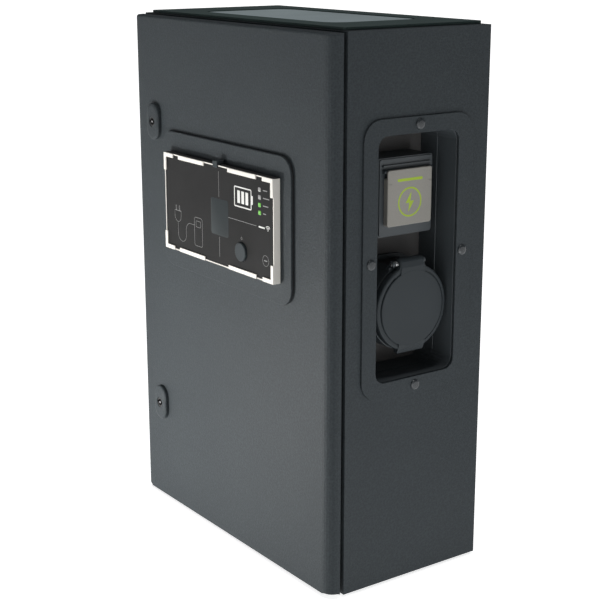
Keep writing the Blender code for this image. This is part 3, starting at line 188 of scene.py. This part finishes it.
def make_finishes():
    return {
        "paint": powder_coat("anthracite_powder_coat"),
        "gasket_green": textured(
            "green_sealing_frame", (0.012, 0.028, 0.026), (0.026, 0.052, 0.048), (0.60, 0.80), 0.0009, 0.00006
        ),
        # light grey in place of the cabinet's dark paint: painted sheen standing for the top face lit from
        # above and reflecting the sky
        "gland_plate": textured(
            "gland_plate_painted_sheen", (0.235, 0.285, 0.296), (0.345, 0.410, 0.424), (0.50, 0.68), 0.0012, 0.00007
        ),
        "black": textured(
            "black_plastic", (0.008, 0.008, 0.009), (0.017, 0.017, 0.018), (0.38, 0.55), 0.0006, 0.00002
        ),
        "recess": textured(
            "recess_plastic", (0.043, 0.051, 0.056), (0.062, 0.073, 0.080), (0.42, 0.58), 0.0007, 0.00003
        ),
        "socket": textured(
            "socket_plastic", (0.031, 0.038, 0.042), (0.045, 0.054, 0.060), (0.40, 0.54), 0.0005, 0.00002
        ),
        "brown_plate": textured(
            "brown_outlet_plate", (0.050, 0.048, 0.047), (0.072, 0.069, 0.067), (0.50, 0.66), 0.0008, 0.00003
        ),
        "lid": textured(
            "lid_plastic", (0.023, 0.028, 0.032), (0.030, 0.037, 0.041), (0.42, 0.54), 0.0005, 0.00002,
            level=0.18,
        ),
        "plug": textured(
            "plug_plastic", (0.018, 0.022, 0.025), (0.026, 0.031, 0.035), (0.24, 0.34), 0.0005, 0.00002
        ),
        "flap": textured(
            "flap_plastic", (0.23, 0.22, 0.20), (0.28, 0.27, 0.243), (0.40, 0.52), 0.0006, 0.00002, level=0.3
        ),
        "cream": textured(
            "cream_tray", (0.74, 0.71, 0.65), (0.84, 0.81, 0.76), (0.34, 0.46), 0.0007, 0.00002, drift=0.04
        ),
        "panel": panel_film("dark_panel_film"),
        "reader": textured(
            "reader_window", (0.023, 0.028, 0.030), (0.029, 0.035, 0.037), (0.36, 0.46), 0.0008, 0.00001,
            level=0.08,
        ),
        "button": textured(
            "button_plastic", (0.026, 0.032, 0.035), (0.034, 0.041, 0.045), (0.36, 0.48), 0.0006, 0.00002,
            level=0.12,
        ),
        "white_print": textured(
            "white_print", (0.55, 0.55, 0.53), (0.72, 0.72, 0.70), (0.45, 0.60), 0.0005, 0.00001
        ),
        "grey_print": textured(
            "grey_print", (0.16, 0.16, 0.16), (0.22, 0.22, 0.22), (0.45, 0.60), 0.0005, 0.00001
        ),
        "lime_print": textured(
            "lime_print", (0.28, 0.40, 0.010), (0.36, 0.50, 0.020), (0.40, 0.55), 0.0006, 0.00001
        ),
        "green_lens": lens("green_lens", (0.06, 0.30, 0.02), (0.12, 0.42, 0.04), 0.12),
        "white_lens": lens("white_lens", (0.20, 0.20, 0.20), (0.30, 0.30, 0.29), 0.0),
        "circuit": circuit_board("circuit_board"),
        "device_grey": textured(
            "device_grey_plastic", (0.14, 0.15, 0.16), (0.20, 0.21, 0.22), (0.36, 0.50), 0.0006, 0.00002
        ),
        "device_white": textured(
            "device_white_plastic", (0.66, 0.66, 0.63), (0.78, 0.78, 0.75), (0.34, 0.46), 0.0006, 0.00002
        ),
        "device_green": textured(
            "device_green_plastic", (0.03, 0.16, 0.08), (0.05, 0.22, 0.11), (0.36, 0.50), 0.0006, 0.00002
        ),
        "seal": textured(
            "seal_rubber", (0.008, 0.008, 0.009), (0.016, 0.016, 0.017), (0.70, 0.90), 0.0008, 0.00008
        ),
        "zinc": drawn_metal("zinc_plate", (0.42, 0.43, 0.44), (0.62, 0.63, 0.62), (0.30, 0.46), 0),
        "steel": drawn_metal("bright_steel", (0.36, 0.36, 0.37), (0.55, 0.55, 0.56), (0.24, 0.38), 2),
        "brass": drawn_metal("brass", (0.52, 0.37, 0.14), (0.70, 0.52, 0.22), (0.24, 0.38), 0),
    }


def powder_coat(name):
    """Structured powder coat: small rounded dimples, a fine grain over them, and slow drifts in tone."""
    material, tree, shader = start_material(name)
    place = object_space(tree)
    inputs = {"Vector": place, "Scale": 1.0 / 0.0021, "Smoothness": 0.8, "Randomness": 0.9}
    dimples = add_node(tree, "ShaderNodeTexVoronoi", inputs, feature="SMOOTH_F1").outputs["Distance"]
    fine = noise(tree, place, 0.0007, 3.0)
    height = add_node(tree, "ShaderNodeMath", {0: dimples, 1: fine}, operation="ADD").outputs["Value"]
    slow = noise(tree, place, 0.15, 2.0)
    dark = mix(tree, spread(tree, slow, 0.0, 1.0), (0.023, 0.028, 0.031), (0.026, 0.031, 0.035))
    light = mix(tree, spread(tree, slow, 0.0, 1.0), (0.035, 0.042, 0.047), (0.039, 0.047, 0.051))
    link(tree, mix(tree, spread(tree, height, 0.0, 1.0, 0.5, 1.3), dark, light), shader, "Base Color")
    link(tree, spread(tree, fine, 0.50, 0.66), shader, "Roughness")
    bump(tree, shader, height, 0.00020)
    shader.inputs["Specular IOR Level"].default_value = 0.15
    return material


def panel_film(name):
    """Printed polyester film: nearly even dark grey under a satin surface with very fine pores."""
    material, tree, shader = start_material(name)
    place = object_space(tree)
    fine = noise(tree, place, 0.0004, 2.0)
    slow = noise(tree, place, 0.05, 2.0)
    tone = mix(tree, spread(tree, slow, 0.0, 1.0), (0.015, 0.015, 0.015), (0.019, 0.019, 0.019))
    link(tree, tone, shader, "Base Color")
    link(tree, spread(tree, fine, 0.36, 0.50), shader, "Roughness")
    bump(tree, shader, fine, 0.00001)
    shader.inputs["Specular IOR Level"].default_value = 0.06
    return material


def lens(name, dark, light, glow):
    """Moulded light guide: clear-coated, a little mottled, and glowing where it is a lit lamp."""
    material, tree, shader = start_material(name)
    fine = noise(tree, object_space(tree), 0.0012, 2.0)
    tone = mix(tree, spread(tree, fine, 0.0, 1.0), dark, light)
    link(tree, tone, shader, "Base Color")
    link(tree, tone, shader, "Emission Color")
    link(tree, spread(tree, fine, 0.14, 0.26), shader, "Roughness")
    shader.inputs["Emission Strength"].default_value = glow
    shader.inputs["Coat Weight"].default_value = 0.4
    shader.inputs["Coat Roughness"].default_value = 0.1
    return material


def circuit_board(name):
    """Green solder mask with lighter tracks that run in straight steps."""
    material, tree, shader = start_material(name)
    place = object_space(tree)
    inputs = {"Vector": place, "Scale": 1.0 / 0.004}
    cells = add_node(tree, "ShaderNodeTexVoronoi", inputs, feature="F1", distance="CHEBYCHEV")
    tracks = spread(tree, cells.outputs["Distance"], 0.0, 1.0, 0.30, 0.34)
    link(tree, mix(tree, tracks, (0.012, 0.075, 0.030), (0.020, 0.130, 0.055)), shader, "Base Color")
    link(tree, spread(tree, noise(tree, place, 0.002), 0.22, 0.36), shader, "Roughness")
    bump(tree, shader, tracks, 0.00003)
    return material


# ---------------------------------------------------------------- CAD nodes


def dress(name, material, edge=0.0):
    """Gives a CAD node its finish and, where an edge is given, a small round on its sharp edges."""
    node = NODES[name]
    node.data.materials.clear()
    node.data.materials.append(material)
    if edge <= 0:
        return
    weld = node.modifiers.new("weld", "WELD")
    weld.merge_threshold = WELD
    rounding = node.modifiers.new("edges", "BEVEL")
    rounding.width = edge
    rounding.segments = 2
    rounding.limit_method = "ANGLE"
    rounding.angle_limit = math.radians(32)
    rounding.harden_normals = True


def dress_cad_nodes(finish):
    dressed = {
        ("paint", 0.0004): ("cabinet_shell", "door_panel", "display_bezel", "display_clip"),
        ("paint", 0.0003): ("recess_trim_plate", "lock_cap_lower", "lock_cap_upper"),
        ("gasket_green", 0.0004): ("top_gasket_frame", "bottom_gasket_frame"),
        # both gland plates carry the light grey painted sheen of the top
        ("gland_plate", 0.0003): ("top_gland_plate", "bottom_gland_plate"),
        ("black", 0.0003): (
            "supply_gland_body", "supply_gland_nut", "type2_contact_carrier", "type2_terminal_cover",
            "plug_lock_actuator", "breaker_toggle", "lock_barrel_lower", "lock_barrel_upper",
        ),
        ("recess", 0.0003): ("socket_well",),
        ("socket", 0.0003): ("domestic_socket_frame", "domestic_socket_insert", "type2_socket_body"),
        ("brown_plate", 0.0003): ("outlet_mounting_plate",),
        ("lid", 0.0003): ("type2_lid",),
        ("plug", 0.0002): ("trim_plug_top", "trim_plug_bottom", "trim_plug_front", "trim_plug_rear"),
        ("flap", 0.0003): ("domestic_flap",),
        ("device_grey", 0.0005): ("contactor", "power_supply", "terminal_block"),
        ("device_white", 0.0005): ("residual_current_breaker",),
        ("device_green", 0.0005): ("charge_controller",),
        ("cream", 0.0002): ("display_tray",),
        ("panel", 0.0002): ("display_panel",),
        ("button", 0.0003): ("start_button",),
        ("circuit", 0.0001): ("display_board",),
        ("seal", 0.0004): ("door_seal", "bezel_gasket"),
        ("zinc", 0.0002): (
            "mounting_plate", "lower_din_rail", "upper_din_rail", "plate_standoff_1", "plate_standoff_2",
            "plate_standoff_3", "plate_standoff_4", "hinge_case_leaf_lower", "hinge_case_leaf_upper",
            "hinge_door_leaf_lower", "hinge_door_leaf_upper", "hinge_pin_lower", "hinge_pin_upper",
        ),
        ("steel", 0.0002): (
            "lock_cam_lower", "lock_cam_upper", "flap_hinge_pin", "lid_hinge_pin", "plug_lock_pin",
        ),
        ("brass", 0.0002): ("earth_bar",),
    }
    for (key, edge), names in dressed.items():
        for name in names:
            dress(name, finish[key], edge)


# ---------------------------------------------------------------- mesh helpers


class Plane:
    """A working plane: u and v lie in it and w stands out of it."""

    def __init__(self, origin, u, v):
        self.origin = Vector(origin)
        self.u = Vector(u)
        self.v = Vector(v)
        self.w = self.u.cross(self.v)

    def at(self, u, v, w=0.0):
        return self.origin + self.u * u + self.v * v + self.w * w


def front_plane(origin):
    return Plane(origin, (1, 0, 0), (0, 0, 1))


def side_plane(origin):
    return Plane(origin, (0, 1, 0), (0, 0, 1))


def rounded_rect(width, height, radius, centre=(0.0, 0.0), steps=5):
    points = []
    for quadrant, (side_u, side_v) in enumerate(((1, 1), (-1, 1), (-1, -1), (1, -1))):
        corner_u = centre[0] + side_u * (width / 2 - radius)
        corner_v = centre[1] + side_v * (height / 2 - radius)
        for step in range(steps + 1):
            angle = math.pi / 2 * (quadrant + step / steps)
            points.append((corner_u + radius * math.cos(angle), corner_v + radius * math.sin(angle)))
    return points


def arc(centre, radius, start, end, steps):
    points = []
    for step in range(steps + 1):
        angle = math.radians(start + (end - start) * step / steps)
        points.append((centre[0] + radius * math.cos(angle), centre[1] + radius * math.sin(angle)))
    return points


def circle(centre, radius, steps=24):
    return arc(centre, radius, 0, 360, steps)[:-1]


def bridge(bm, first, second):
    count = len(first)
    for index in range(count):
        following = (index + 1) % count
        bm.faces.new((first[index], first[following], second[following], second[index]))


def add_layers(bm, plane, layers):
    """A solid through outlines with the same number of points, each at its own height."""
    loops = [[bm.verts.new(plane.at(u, v, w)) for u, v in outline] for outline, w in layers]
    for first, second in zip(loops, loops[1:]):
        bridge(bm, first, second)
    bm.faces.new(list(reversed(loops[0])))
    bm.faces.new(loops[-1])


def add_plate(bm, plane, outline, low, high):
    add_layers(bm, plane, [(outline, low), (outline, high)])


def add_bar(bm, plane, centre, size, radius, steps=2):
    """A printed bar with rounded corners."""
    add_plate(bm, plane, rounded_rect(*size, radius, centre, steps), 0.0, PRINT)


def add_dome(bm, plane, centre, radius, height, steps):
    """A small lamp with a rounded front."""
    layers = [(circle(centre, radius, steps), 0.0)]
    for step in range(5):
        angle = math.radians(18 * step)
        rise = height * (0.35 + 0.65 * math.sin(angle))
        layers.append((circle(centre, radius * math.cos(angle), steps), rise))
    add_layers(bm, plane, layers)


def add_stroke(bm, plane, points, width, low, high, closed=False):
    """A raised line of even width along points."""
    count = len(points)
    sections = []
    for index, (u, v) in enumerate(points):
        before = points[index - 1] if index or closed else points[0]
        after = points[(index + 1) % count] if index < count - 1 or closed else points[-1]
        along = Vector((after[0] - before[0], after[1] - before[1])).normalized()
        if index or closed:
            arriving = Vector((u - before[0], v - before[1])).normalized()
            reach = width / 2 / max(0.5, along.dot(arriving))
        else:
            reach = width / 2
        across = Vector((-along.y, along.x)) * reach
        left = (u + across.x, v + across.y)
        right = (u - across.x, v - across.y)
        corners = ((left, low), (right, low), (right, high), (left, high))
        sections.append([bm.verts.new(plane.at(*spot, height)) for spot, height in corners])
    pairs = list(zip(sections, sections[1:]))
    if closed:
        pairs.append((sections[-1], sections[0]))
    else:
        bm.faces.new(sections[0])
        bm.faces.new(list(reversed(sections[-1])))
    for first, second in pairs:
        bridge(bm, first, second)


def add_tube(bm, points, radius, sides):
    """A round tube along points, with its section turned smoothly from one to the next."""
    points = [Vector(point) for point in points]
    rings = []
    normal = None
    for index, point in enumerate(points):
        before = points[max(index - 1, 0)]
        after = points[min(index + 1, len(points) - 1)]
        along = (after - before).normalized()
        if normal is None:
            normal = along.orthogonal().normalized()
        normal = (normal - along * normal.dot(along)).normalized()
        other = along.cross(normal)
        ring = []
        for side in range(sides):
            angle = 2 * math.pi * side / sides
            outward = normal * math.cos(angle) + other * math.sin(angle)
            ring.append(bm.verts.new(point + outward * radius))
        rings.append(ring)
    for first, second in zip(rings, rings[1:]):
        bridge(bm, first, second)
    bm.faces.new(list(reversed(rings[0])))
    bm.faces.new(rings[-1])


def add_screw(bm, plane, centre, radius, height, lobes=4, steps=32):
    """A pan head with a lobed drive recess."""
    def lobed(size, depth):
        points = []
        for step in range(steps):
            angle = 2 * math.pi * step / steps
            reach = size * (1 - depth + depth * math.cos(lobes * angle))
            points.append((centre[0] + reach * math.cos(angle), centre[1] + reach * math.sin(angle)))
        return points

    drive = radius * 0.52
    layers = [
        (circle(centre, radius, steps), 0.0),
        (circle(centre, radius, steps), height * 0.45),
        (circle(centre, radius * 0.90, steps), height * 0.80),
        (circle(centre, radius * 0.70, steps), height),
        (lobed(drive, 0.22), height),
        (lobed(drive * 0.94, 0.22), height * 0.35),
    ]
    add_layers(bm, plane, layers)


def to_piece(name, bm, material, body):
    """Turns the shape into an object that rides on a body, smooth but for edges over 35 degrees."""
    bmesh.ops.recalc_face_normals(bm, faces=bm.faces)
    mesh = bpy.data.meshes.new(name)
    bm.to_mesh(mesh)
    bm.free()
    mesh.materials.append(material)
    mesh.shade_smooth()
    mesh.set_sharp_from_angle(angle=math.radians(35))
    piece = bpy.data.objects.new(name, mesh)
    bpy.context.scene.collection.objects.link(piece)
    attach(piece, body)
    return piece


# ---------------------------------------------------------------- control panel


def panel_plane():
    low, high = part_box("display_panel")
    return front_plane(((low.x + high.x) / 2, low.y, (low.z + high.z) / 2))


def make_panel_print(finish):
    """Lines, symbols and plain bars printed on the panel, in place of its lettering."""
    plane = panel_plane()
    white = bmesh.new()
    add_battery_symbol(white, plane, (0.0530, 0.0276))
    add_bar(white, plane, (0.0892, 0.0014), (0.0115, 0.0017), 0.0004)
    add_wave_symbol(white, plane, (0.1010, -0.0004))
    to_piece("panel_print_white", white, finish["white_print"], "door")

    grey = bmesh.new()
    for low, high in ((-0.0467, -0.0238), (0.0210, 0.0498)):
        add_bar(grey, plane, (0.0047, (low + high) / 2), (0.0005, high - low), 0.0002, 1)
    add_bar(grey, plane, (0.0512, 0.0014), (0.0560, 0.0005), 0.0002, 1)
    for place_v, width in zip(LAMP_ROWS, LABEL_WIDTHS):
        add_bar(grey, plane, (LABEL_LEFT + width / 2, place_v), (width, 0.0011), 0.0004)
    add_lead_symbol(grey, plane, (-0.0630, -0.0235))
    add_stroke(grey, plane, circle((0.0963, -0.0337), 0.0058, 32), 0.0004, 0.0, PRINT, closed=True)
    add_bar(grey, plane, (0.0963, -0.0337), (0.0060, 0.0012), 0.0004)
    add_stroke(grey, plane, arc((0.0498, -0.0175), 0.0014, 130, 410, 16), 0.0004, 0.0, PRINT)
    add_bar(grey, plane, (0.0498, -0.0163), (0.0004, 0.0016), 0.0001, 1)
    to_piece("panel_print_grey", grey, finish["grey_print"], "door")


def add_battery_symbol(bm, plane, centre):
    """A charge gauge: an outline with three bars and a terminal at its right."""
    width = 0.0326
    height = 0.0212
    edge = rounded_rect(width, height, 0.0012, centre, 3)
    add_stroke(bm, plane, edge, 0.0013, 0.0, PRINT, closed=True)
    for index in range(3):
        middle = centre[0] - 0.0080 + index * 0.0080
        add_bar(bm, plane, (middle, centre[1]), (0.0052, 0.0136), 0.0004)
    nub = centre[0] + width / 2 + 0.0020
    add_bar(bm, plane, (nub, centre[1]), (0.0026, 0.0096), 0.0008)


def add_wave_symbol(bm, plane, centre):
    for radius in (0.0016, 0.0032, 0.0048):
        add_stroke(bm, plane, arc(centre, radius, 40, 140, 10), 0.0007, 0.0, PRINT)
    add_plate(bm, plane, circle(centre, 0.0006, 12), 0.0, PRINT)


def add_lead_symbol(bm, plane, centre):
    """A plug whose lead loops round to a plain post, drawn in thin lines."""
    u, v = centre
    post = rounded_rect(0.0170, 0.0330, 0.0030, (u + 0.0230, v - 0.0030), 4)
    add_stroke(bm, plane, post, THIN_LINE, 0.0, PRINT, closed=True)
    window = rounded_rect(0.0100, 0.0070, 0.0012, (u + 0.0230, v + 0.0060), 3)
    add_stroke(bm, plane, window, THIN_LINE, 0.0, PRINT, closed=True)
    plug_v = v + 0.0090
    body = [(u - 0.0290, plug_v + 0.0060), (u - 0.0290, plug_v)]
    body += arc((u - 0.0220, plug_v), 0.0070, 180, 360, 12)
    body += [(u - 0.0150, plug_v + 0.0060)]
    add_stroke(bm, plane, body, THIN_LINE, 0.0, PRINT, closed=True)
    for side in (-1, 1):
        prong = rounded_rect(0.0016, 0.0055, 0.0005, (u - 0.0220 + side * 0.0035, plug_v + 0.0092), 2)
        add_stroke(bm, plane, prong, THIN_LINE, 0.0, PRINT, closed=True)
    lead = [(u - 0.0220, plug_v - 0.0070), (u - 0.0220, v - 0.0110)]
    lead += arc((u - 0.0130, v - 0.0110), 0.0090, 180, 360, 16)
    lead += arc((u + 0.0050, v - 0.0050), 0.0090, 180, 90, 8)
    lead += [(u + 0.0140, v + 0.0040)]
    add_stroke(bm, plane, lead, THIN_LINE, 0.0, PRINT)


def make_panel_pieces(finish):
    plane = panel_plane()
    reader = bmesh.new()
    edge = rounded_rect(0.0354, 0.0413, 0.0030, (0.0057, -0.0016), 5)
    inner = rounded_rect(0.0350, 0.0409, 0.0028, (0.0057, -0.0016), 5)
    add_layers(reader, plane, [(edge, 0.0), (edge, PRINT), (inner, 0.00012)])
    to_piece("reader_window", reader, finish["reader"], "door")
    for index, (place_v, key) in enumerate(zip(LAMP_ROWS, LAMP_KEYS)):
        led = bmesh.new()
        outline = rounded_rect(*LAMP_SIZE, 0.0010, (LAMP_U, place_v), 3)
        crown = rounded_rect(LAMP_SIZE[0] - 0.0008, LAMP_SIZE[1] - 0.0008, 0.0007, (LAMP_U, place_v), 3)
        add_layers(led, plane, [(outline, 0.0), (outline, 0.00015), (crown, 0.0003)])
        to_piece(f"status_lens_{index + 1}", led, finish[key], "door")


def make_tray_painted_shade(finish):
    """Black strips along the top of the display's tray, each side of the door clip: painted shade that
    darkens the tray's top face where the bezel shades it.
    """
    low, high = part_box("display_tray")
    clip_low, clip_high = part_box("display_clip")
    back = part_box("display_bezel")[0].y - 0.0004
    front = low.y + 0.0019
    plane = Plane((0.0, 0.0, high.z), (1, 0, 0), (0, 1, 0))
    bm = bmesh.new()
    for start, end in ((low.x + 0.0006, clip_low.x - 0.0004), (clip_high.x + 0.0004, high.x - 0.0006)):
        centre = ((start + end) / 2, (front + back) / 2)
        # black seal rubber as painted shade over the tray's lit top face
        add_plate(bm, plane, rounded_rect(end - start, back - front, 0.0006, centre, 2), 0.00004, 0.0004)
    to_piece("display_tray_painted_shade", bm, finish["seal"], "door")


# ---------------------------------------------------------------- door locks


def make_lock_pin_tips(finish):
    """The bright tip of the centre pin in each lock's double-bit keyway."""
    for label in ("lower", "upper"):
        low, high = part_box(f"lock_barrel_{label}")
        plane = front_plane(((low.x + high.x) / 2, low.y, (low.z + high.z) / 2))
        centre = (0.0, 0.0)
        tip = bmesh.new()
        add_layers(tip, plane, [(circle(centre, 0.0013, 20), 0.0), (circle(centre, 0.0010, 20), 0.0003)])
        to_piece(f"lock_pin_tip_{label}", tip, finish["steel"], f"lock_{label}")


# ---------------------------------------------------------------- recess


def make_flap_print(finish):
    """A lime bolt in a ring, with a plain bar over it, in place of the flap's lettering and badge."""
    low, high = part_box("domestic_flap")
    plane = side_plane((high.x, (low.y + high.y) / 2, low.z + 0.0295))
    bm = bmesh.new()
    ring = circle((0.0, -0.0050), 0.0150, 48)
    add_stroke(bm, plane, ring, 0.0018, 0.0, PRINT, closed=True)
    bolt = [
        (0.0020, 0.0058), (-0.0058, -0.0060), (-0.0008, -0.0060),
        (-0.0020, -0.0158), (0.0058, -0.0040), (0.0008, -0.0040),
    ]
    add_plate(bm, plane, bolt, 0.0, PRINT)
    add_bar(bm, plane, (0.0, 0.0190), (0.0340, 0.0030), 0.0014, 4)
    to_piece("flap_print", bm, finish["lime_print"], "domestic_flap")


def coil(centre, axis_low, axis_high, radius, turns, steps_per_turn=14):
    """Points of a close coil round an axis along Y."""
    count = int(turns * steps_per_turn)
    points = []
    for step in range(count + 1):
        angle = 2 * math.pi * step / steps_per_turn
        y = axis_low + (axis_high - axis_low) * step / count
        points.append((centre[0] + radius * math.cos(angle), y, centre[1] + radius * math.sin(angle)))
    return points


def make_lid_spring(finish):
    """The torsion spring round the lid's hinge pin, in the gap in front of the neck."""
    low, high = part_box("lid_hinge_pin")
    centre = ((low.x + high.x) / 2, (low.z + high.z) / 2)
    bm = bmesh.new()
    points = coil(centre, low.y + 0.0046, low.y + 0.0084, 0.0026, 3)
    add_tube(bm, points, 0.0005, 8)
    to_piece("lid_spring", bm, finish["zinc"], "root")


def make_contact_sleeves(finish):
    """Brass sleeves at the bottom of the Type 2 outlet's seven contact holes."""
    low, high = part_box("type2_contact_carrier")
    plane = side_plane((high.x, (low.y + high.y) / 2, (low.z + high.z) / 2))
    rows = ((0.0105, (-0.0050, 0.0050)), (0.0, (-0.0140, 0.0, 0.0140)), (-0.0120, (-0.0075, 0.0075)))
    bm = bmesh.new()
    for v, row in rows:
        for u in row:
            outer = circle((u, v), 0.0028, 20)
            bore = circle((u, v), 0.0018, 20)
            layers = [(outer, -0.0280), (outer, -0.0044), (circle((u, v), 0.0025, 20), -0.0040)]
            layers += [(bore, -0.0040), (bore, -0.0260)]
            add_layers(bm, plane, layers)
    to_piece("type2_contact_sleeves", bm, finish["brass"], "root")


# ---------------------------------------------------------------- inside the case


def make_device_details(finish):
    """Terminal screws on four rail devices, front windows on three and a state lamp on two."""
    screw_counts = {
        "residual_current_breaker": 8,
        "contactor": 6,
        "power_supply": 6,
        "charge_controller": 12,
    }
    screws = bmesh.new()
    for name, count in screw_counts.items():
        low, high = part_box(name)
        middle_z = (low.z + high.z) / 2
        shoulder = front_plane((0.0, low.y + 0.014, middle_z))
        pitch = (high.x - low.x) / (count / 2)
        for index in range(count // 2):
            place = low.x + pitch * (index + 0.5)
            for side in (-1, 1):
                add_screw(screws, shoulder, (place, side * 0.0335), 0.0030, 0.0012, lobes=2)
    to_piece("terminal_screws", screws, finish["zinc"], "root")

    windows = bmesh.new()
    for name in ("contactor", "power_supply", "charge_controller"):
        low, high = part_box(name)
        front = front_plane(((low.x + high.x) / 2, low.y, (low.z + high.z) / 2))
        width = high.x - low.x - 0.012
        edge = rounded_rect(width, 0.020, 0.0015, (0.0, 0.006), 3)
        face = rounded_rect(width - 0.0008, 0.0192, 0.0012, (0.0, 0.006), 3)
        add_layers(windows, front, [(edge, 0.0), (edge, 0.0003), (face, 0.0006)])
    to_piece("device_windows", windows, finish["device_white"], "root")

    lamps = bmesh.new()
    for name in ("power_supply", "charge_controller"):
        low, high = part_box(name)
        front = front_plane(((low.x + high.x) / 2, low.y, (low.z + high.z) / 2))
        add_dome(lamps, front, (-0.012, -0.012), 0.0015, 0.0008, 16)
    to_piece("device_lamps", lamps, finish["green_lens"], "root")


def make_plate_screws(finish):
    """The screws that hold the rails to the mounting plate."""
    bm = bmesh.new()
    for name in ("lower_din_rail", "upper_din_rail"):
        rail_low, rail_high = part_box(name)
        for x in (rail_low.x + 0.200, rail_high.x - 0.012):
            rail_plane = front_plane((0.0, rail_high.y - 0.0012, 0.0))
            add_screw(bm, rail_plane, (x, (rail_low.z + rail_high.z) / 2), 0.0036, 0.0020)
    to_piece("plate_screws", bm, finish["zinc"], "root")


# ---------------------------------------------------------------- stage, light and camera


def make_stage():
    bpy.ops.mesh.primitive_plane_add(size=FLOOR_SIZE, location=(0.0, 0.0, CAD_BOX[0].z))
    floor = bpy.context.object
    floor.name = "studio_floor"
    dark, light = (0.80, 0.80, 0.80), (0.84, 0.84, 0.84)
    finish = textured("pale_floor", dark, light, (0.70, 0.80), 0.02, 0.0, drift=0.01)
    shader = finish.node_tree.nodes["Principled BSDF"]
    shader.inputs["Emission Color"].default_value = (1.0, 1.0, 1.0, 1.0)
    shader.inputs["Emission Strength"].default_value = FLOOR_GLOW
    floor.data.materials.append(finish)

    world = bpy.data.worlds.new("studio")
    world.use_nodes = True
    background = world.node_tree.nodes["Background"]
    background.inputs["Color"].default_value = WORLD_COLOUR
    background.inputs["Strength"].default_value = WORLD_STRENGTH
    bpy.context.scene.world = world


def add_area_light(name, place, target, size, power, colour):
    data = bpy.data.lights.new(name, "AREA")
    data.shape = "SQUARE"
    data.size = size
    data.energy = power
    data.color = colour
    light = bpy.data.objects.new(name, data)
    light.location = place
    light.rotation_euler = (Vector(target) - Vector(place)).to_track_quat("-Z", "Y").to_euler()
    bpy.context.scene.collection.objects.link(light)


def make_lights():
    for name, settings in AREA_LIGHTS.items():
        add_area_light(name, *settings)
    sun = bpy.data.lights.new("overhead", "SUN")
    sun.energy = SUN_STRENGTH
    sun.angle = math.radians(SUN_ANGLE)
    overhead = bpy.data.objects.new("overhead", sun)
    bpy.context.scene.collection.objects.link(overhead)


def make_camera():
    data = bpy.data.cameras.new("camera")
    data.lens = CAMERA_LENS
    data.shift_x, data.shift_y = CAMERA_SHIFT
    camera = bpy.data.objects.new("camera", data)
    camera.location = CAMERA_PLACE
    camera.rotation_euler = [math.radians(angle) for angle in CAMERA_TURN]
    bpy.context.scene.collection.objects.link(camera)
    bpy.context.scene.camera = camera
    bpy.context.scene.view_settings.view_transform = "Standard"


def main():
    finish = make_finishes()
    dress_cad_nodes(finish)
    make_panel_print(finish)
    make_panel_pieces(finish)
    make_tray_painted_shade(finish)
    make_lock_pin_tips(finish)
    make_flap_print(finish)
    make_lid_spring(finish)
    make_contact_sleeves(finish)
    make_device_details(finish)
    make_plate_screws(finish)
    make_stage()
    make_lights()
    make_camera()


main()
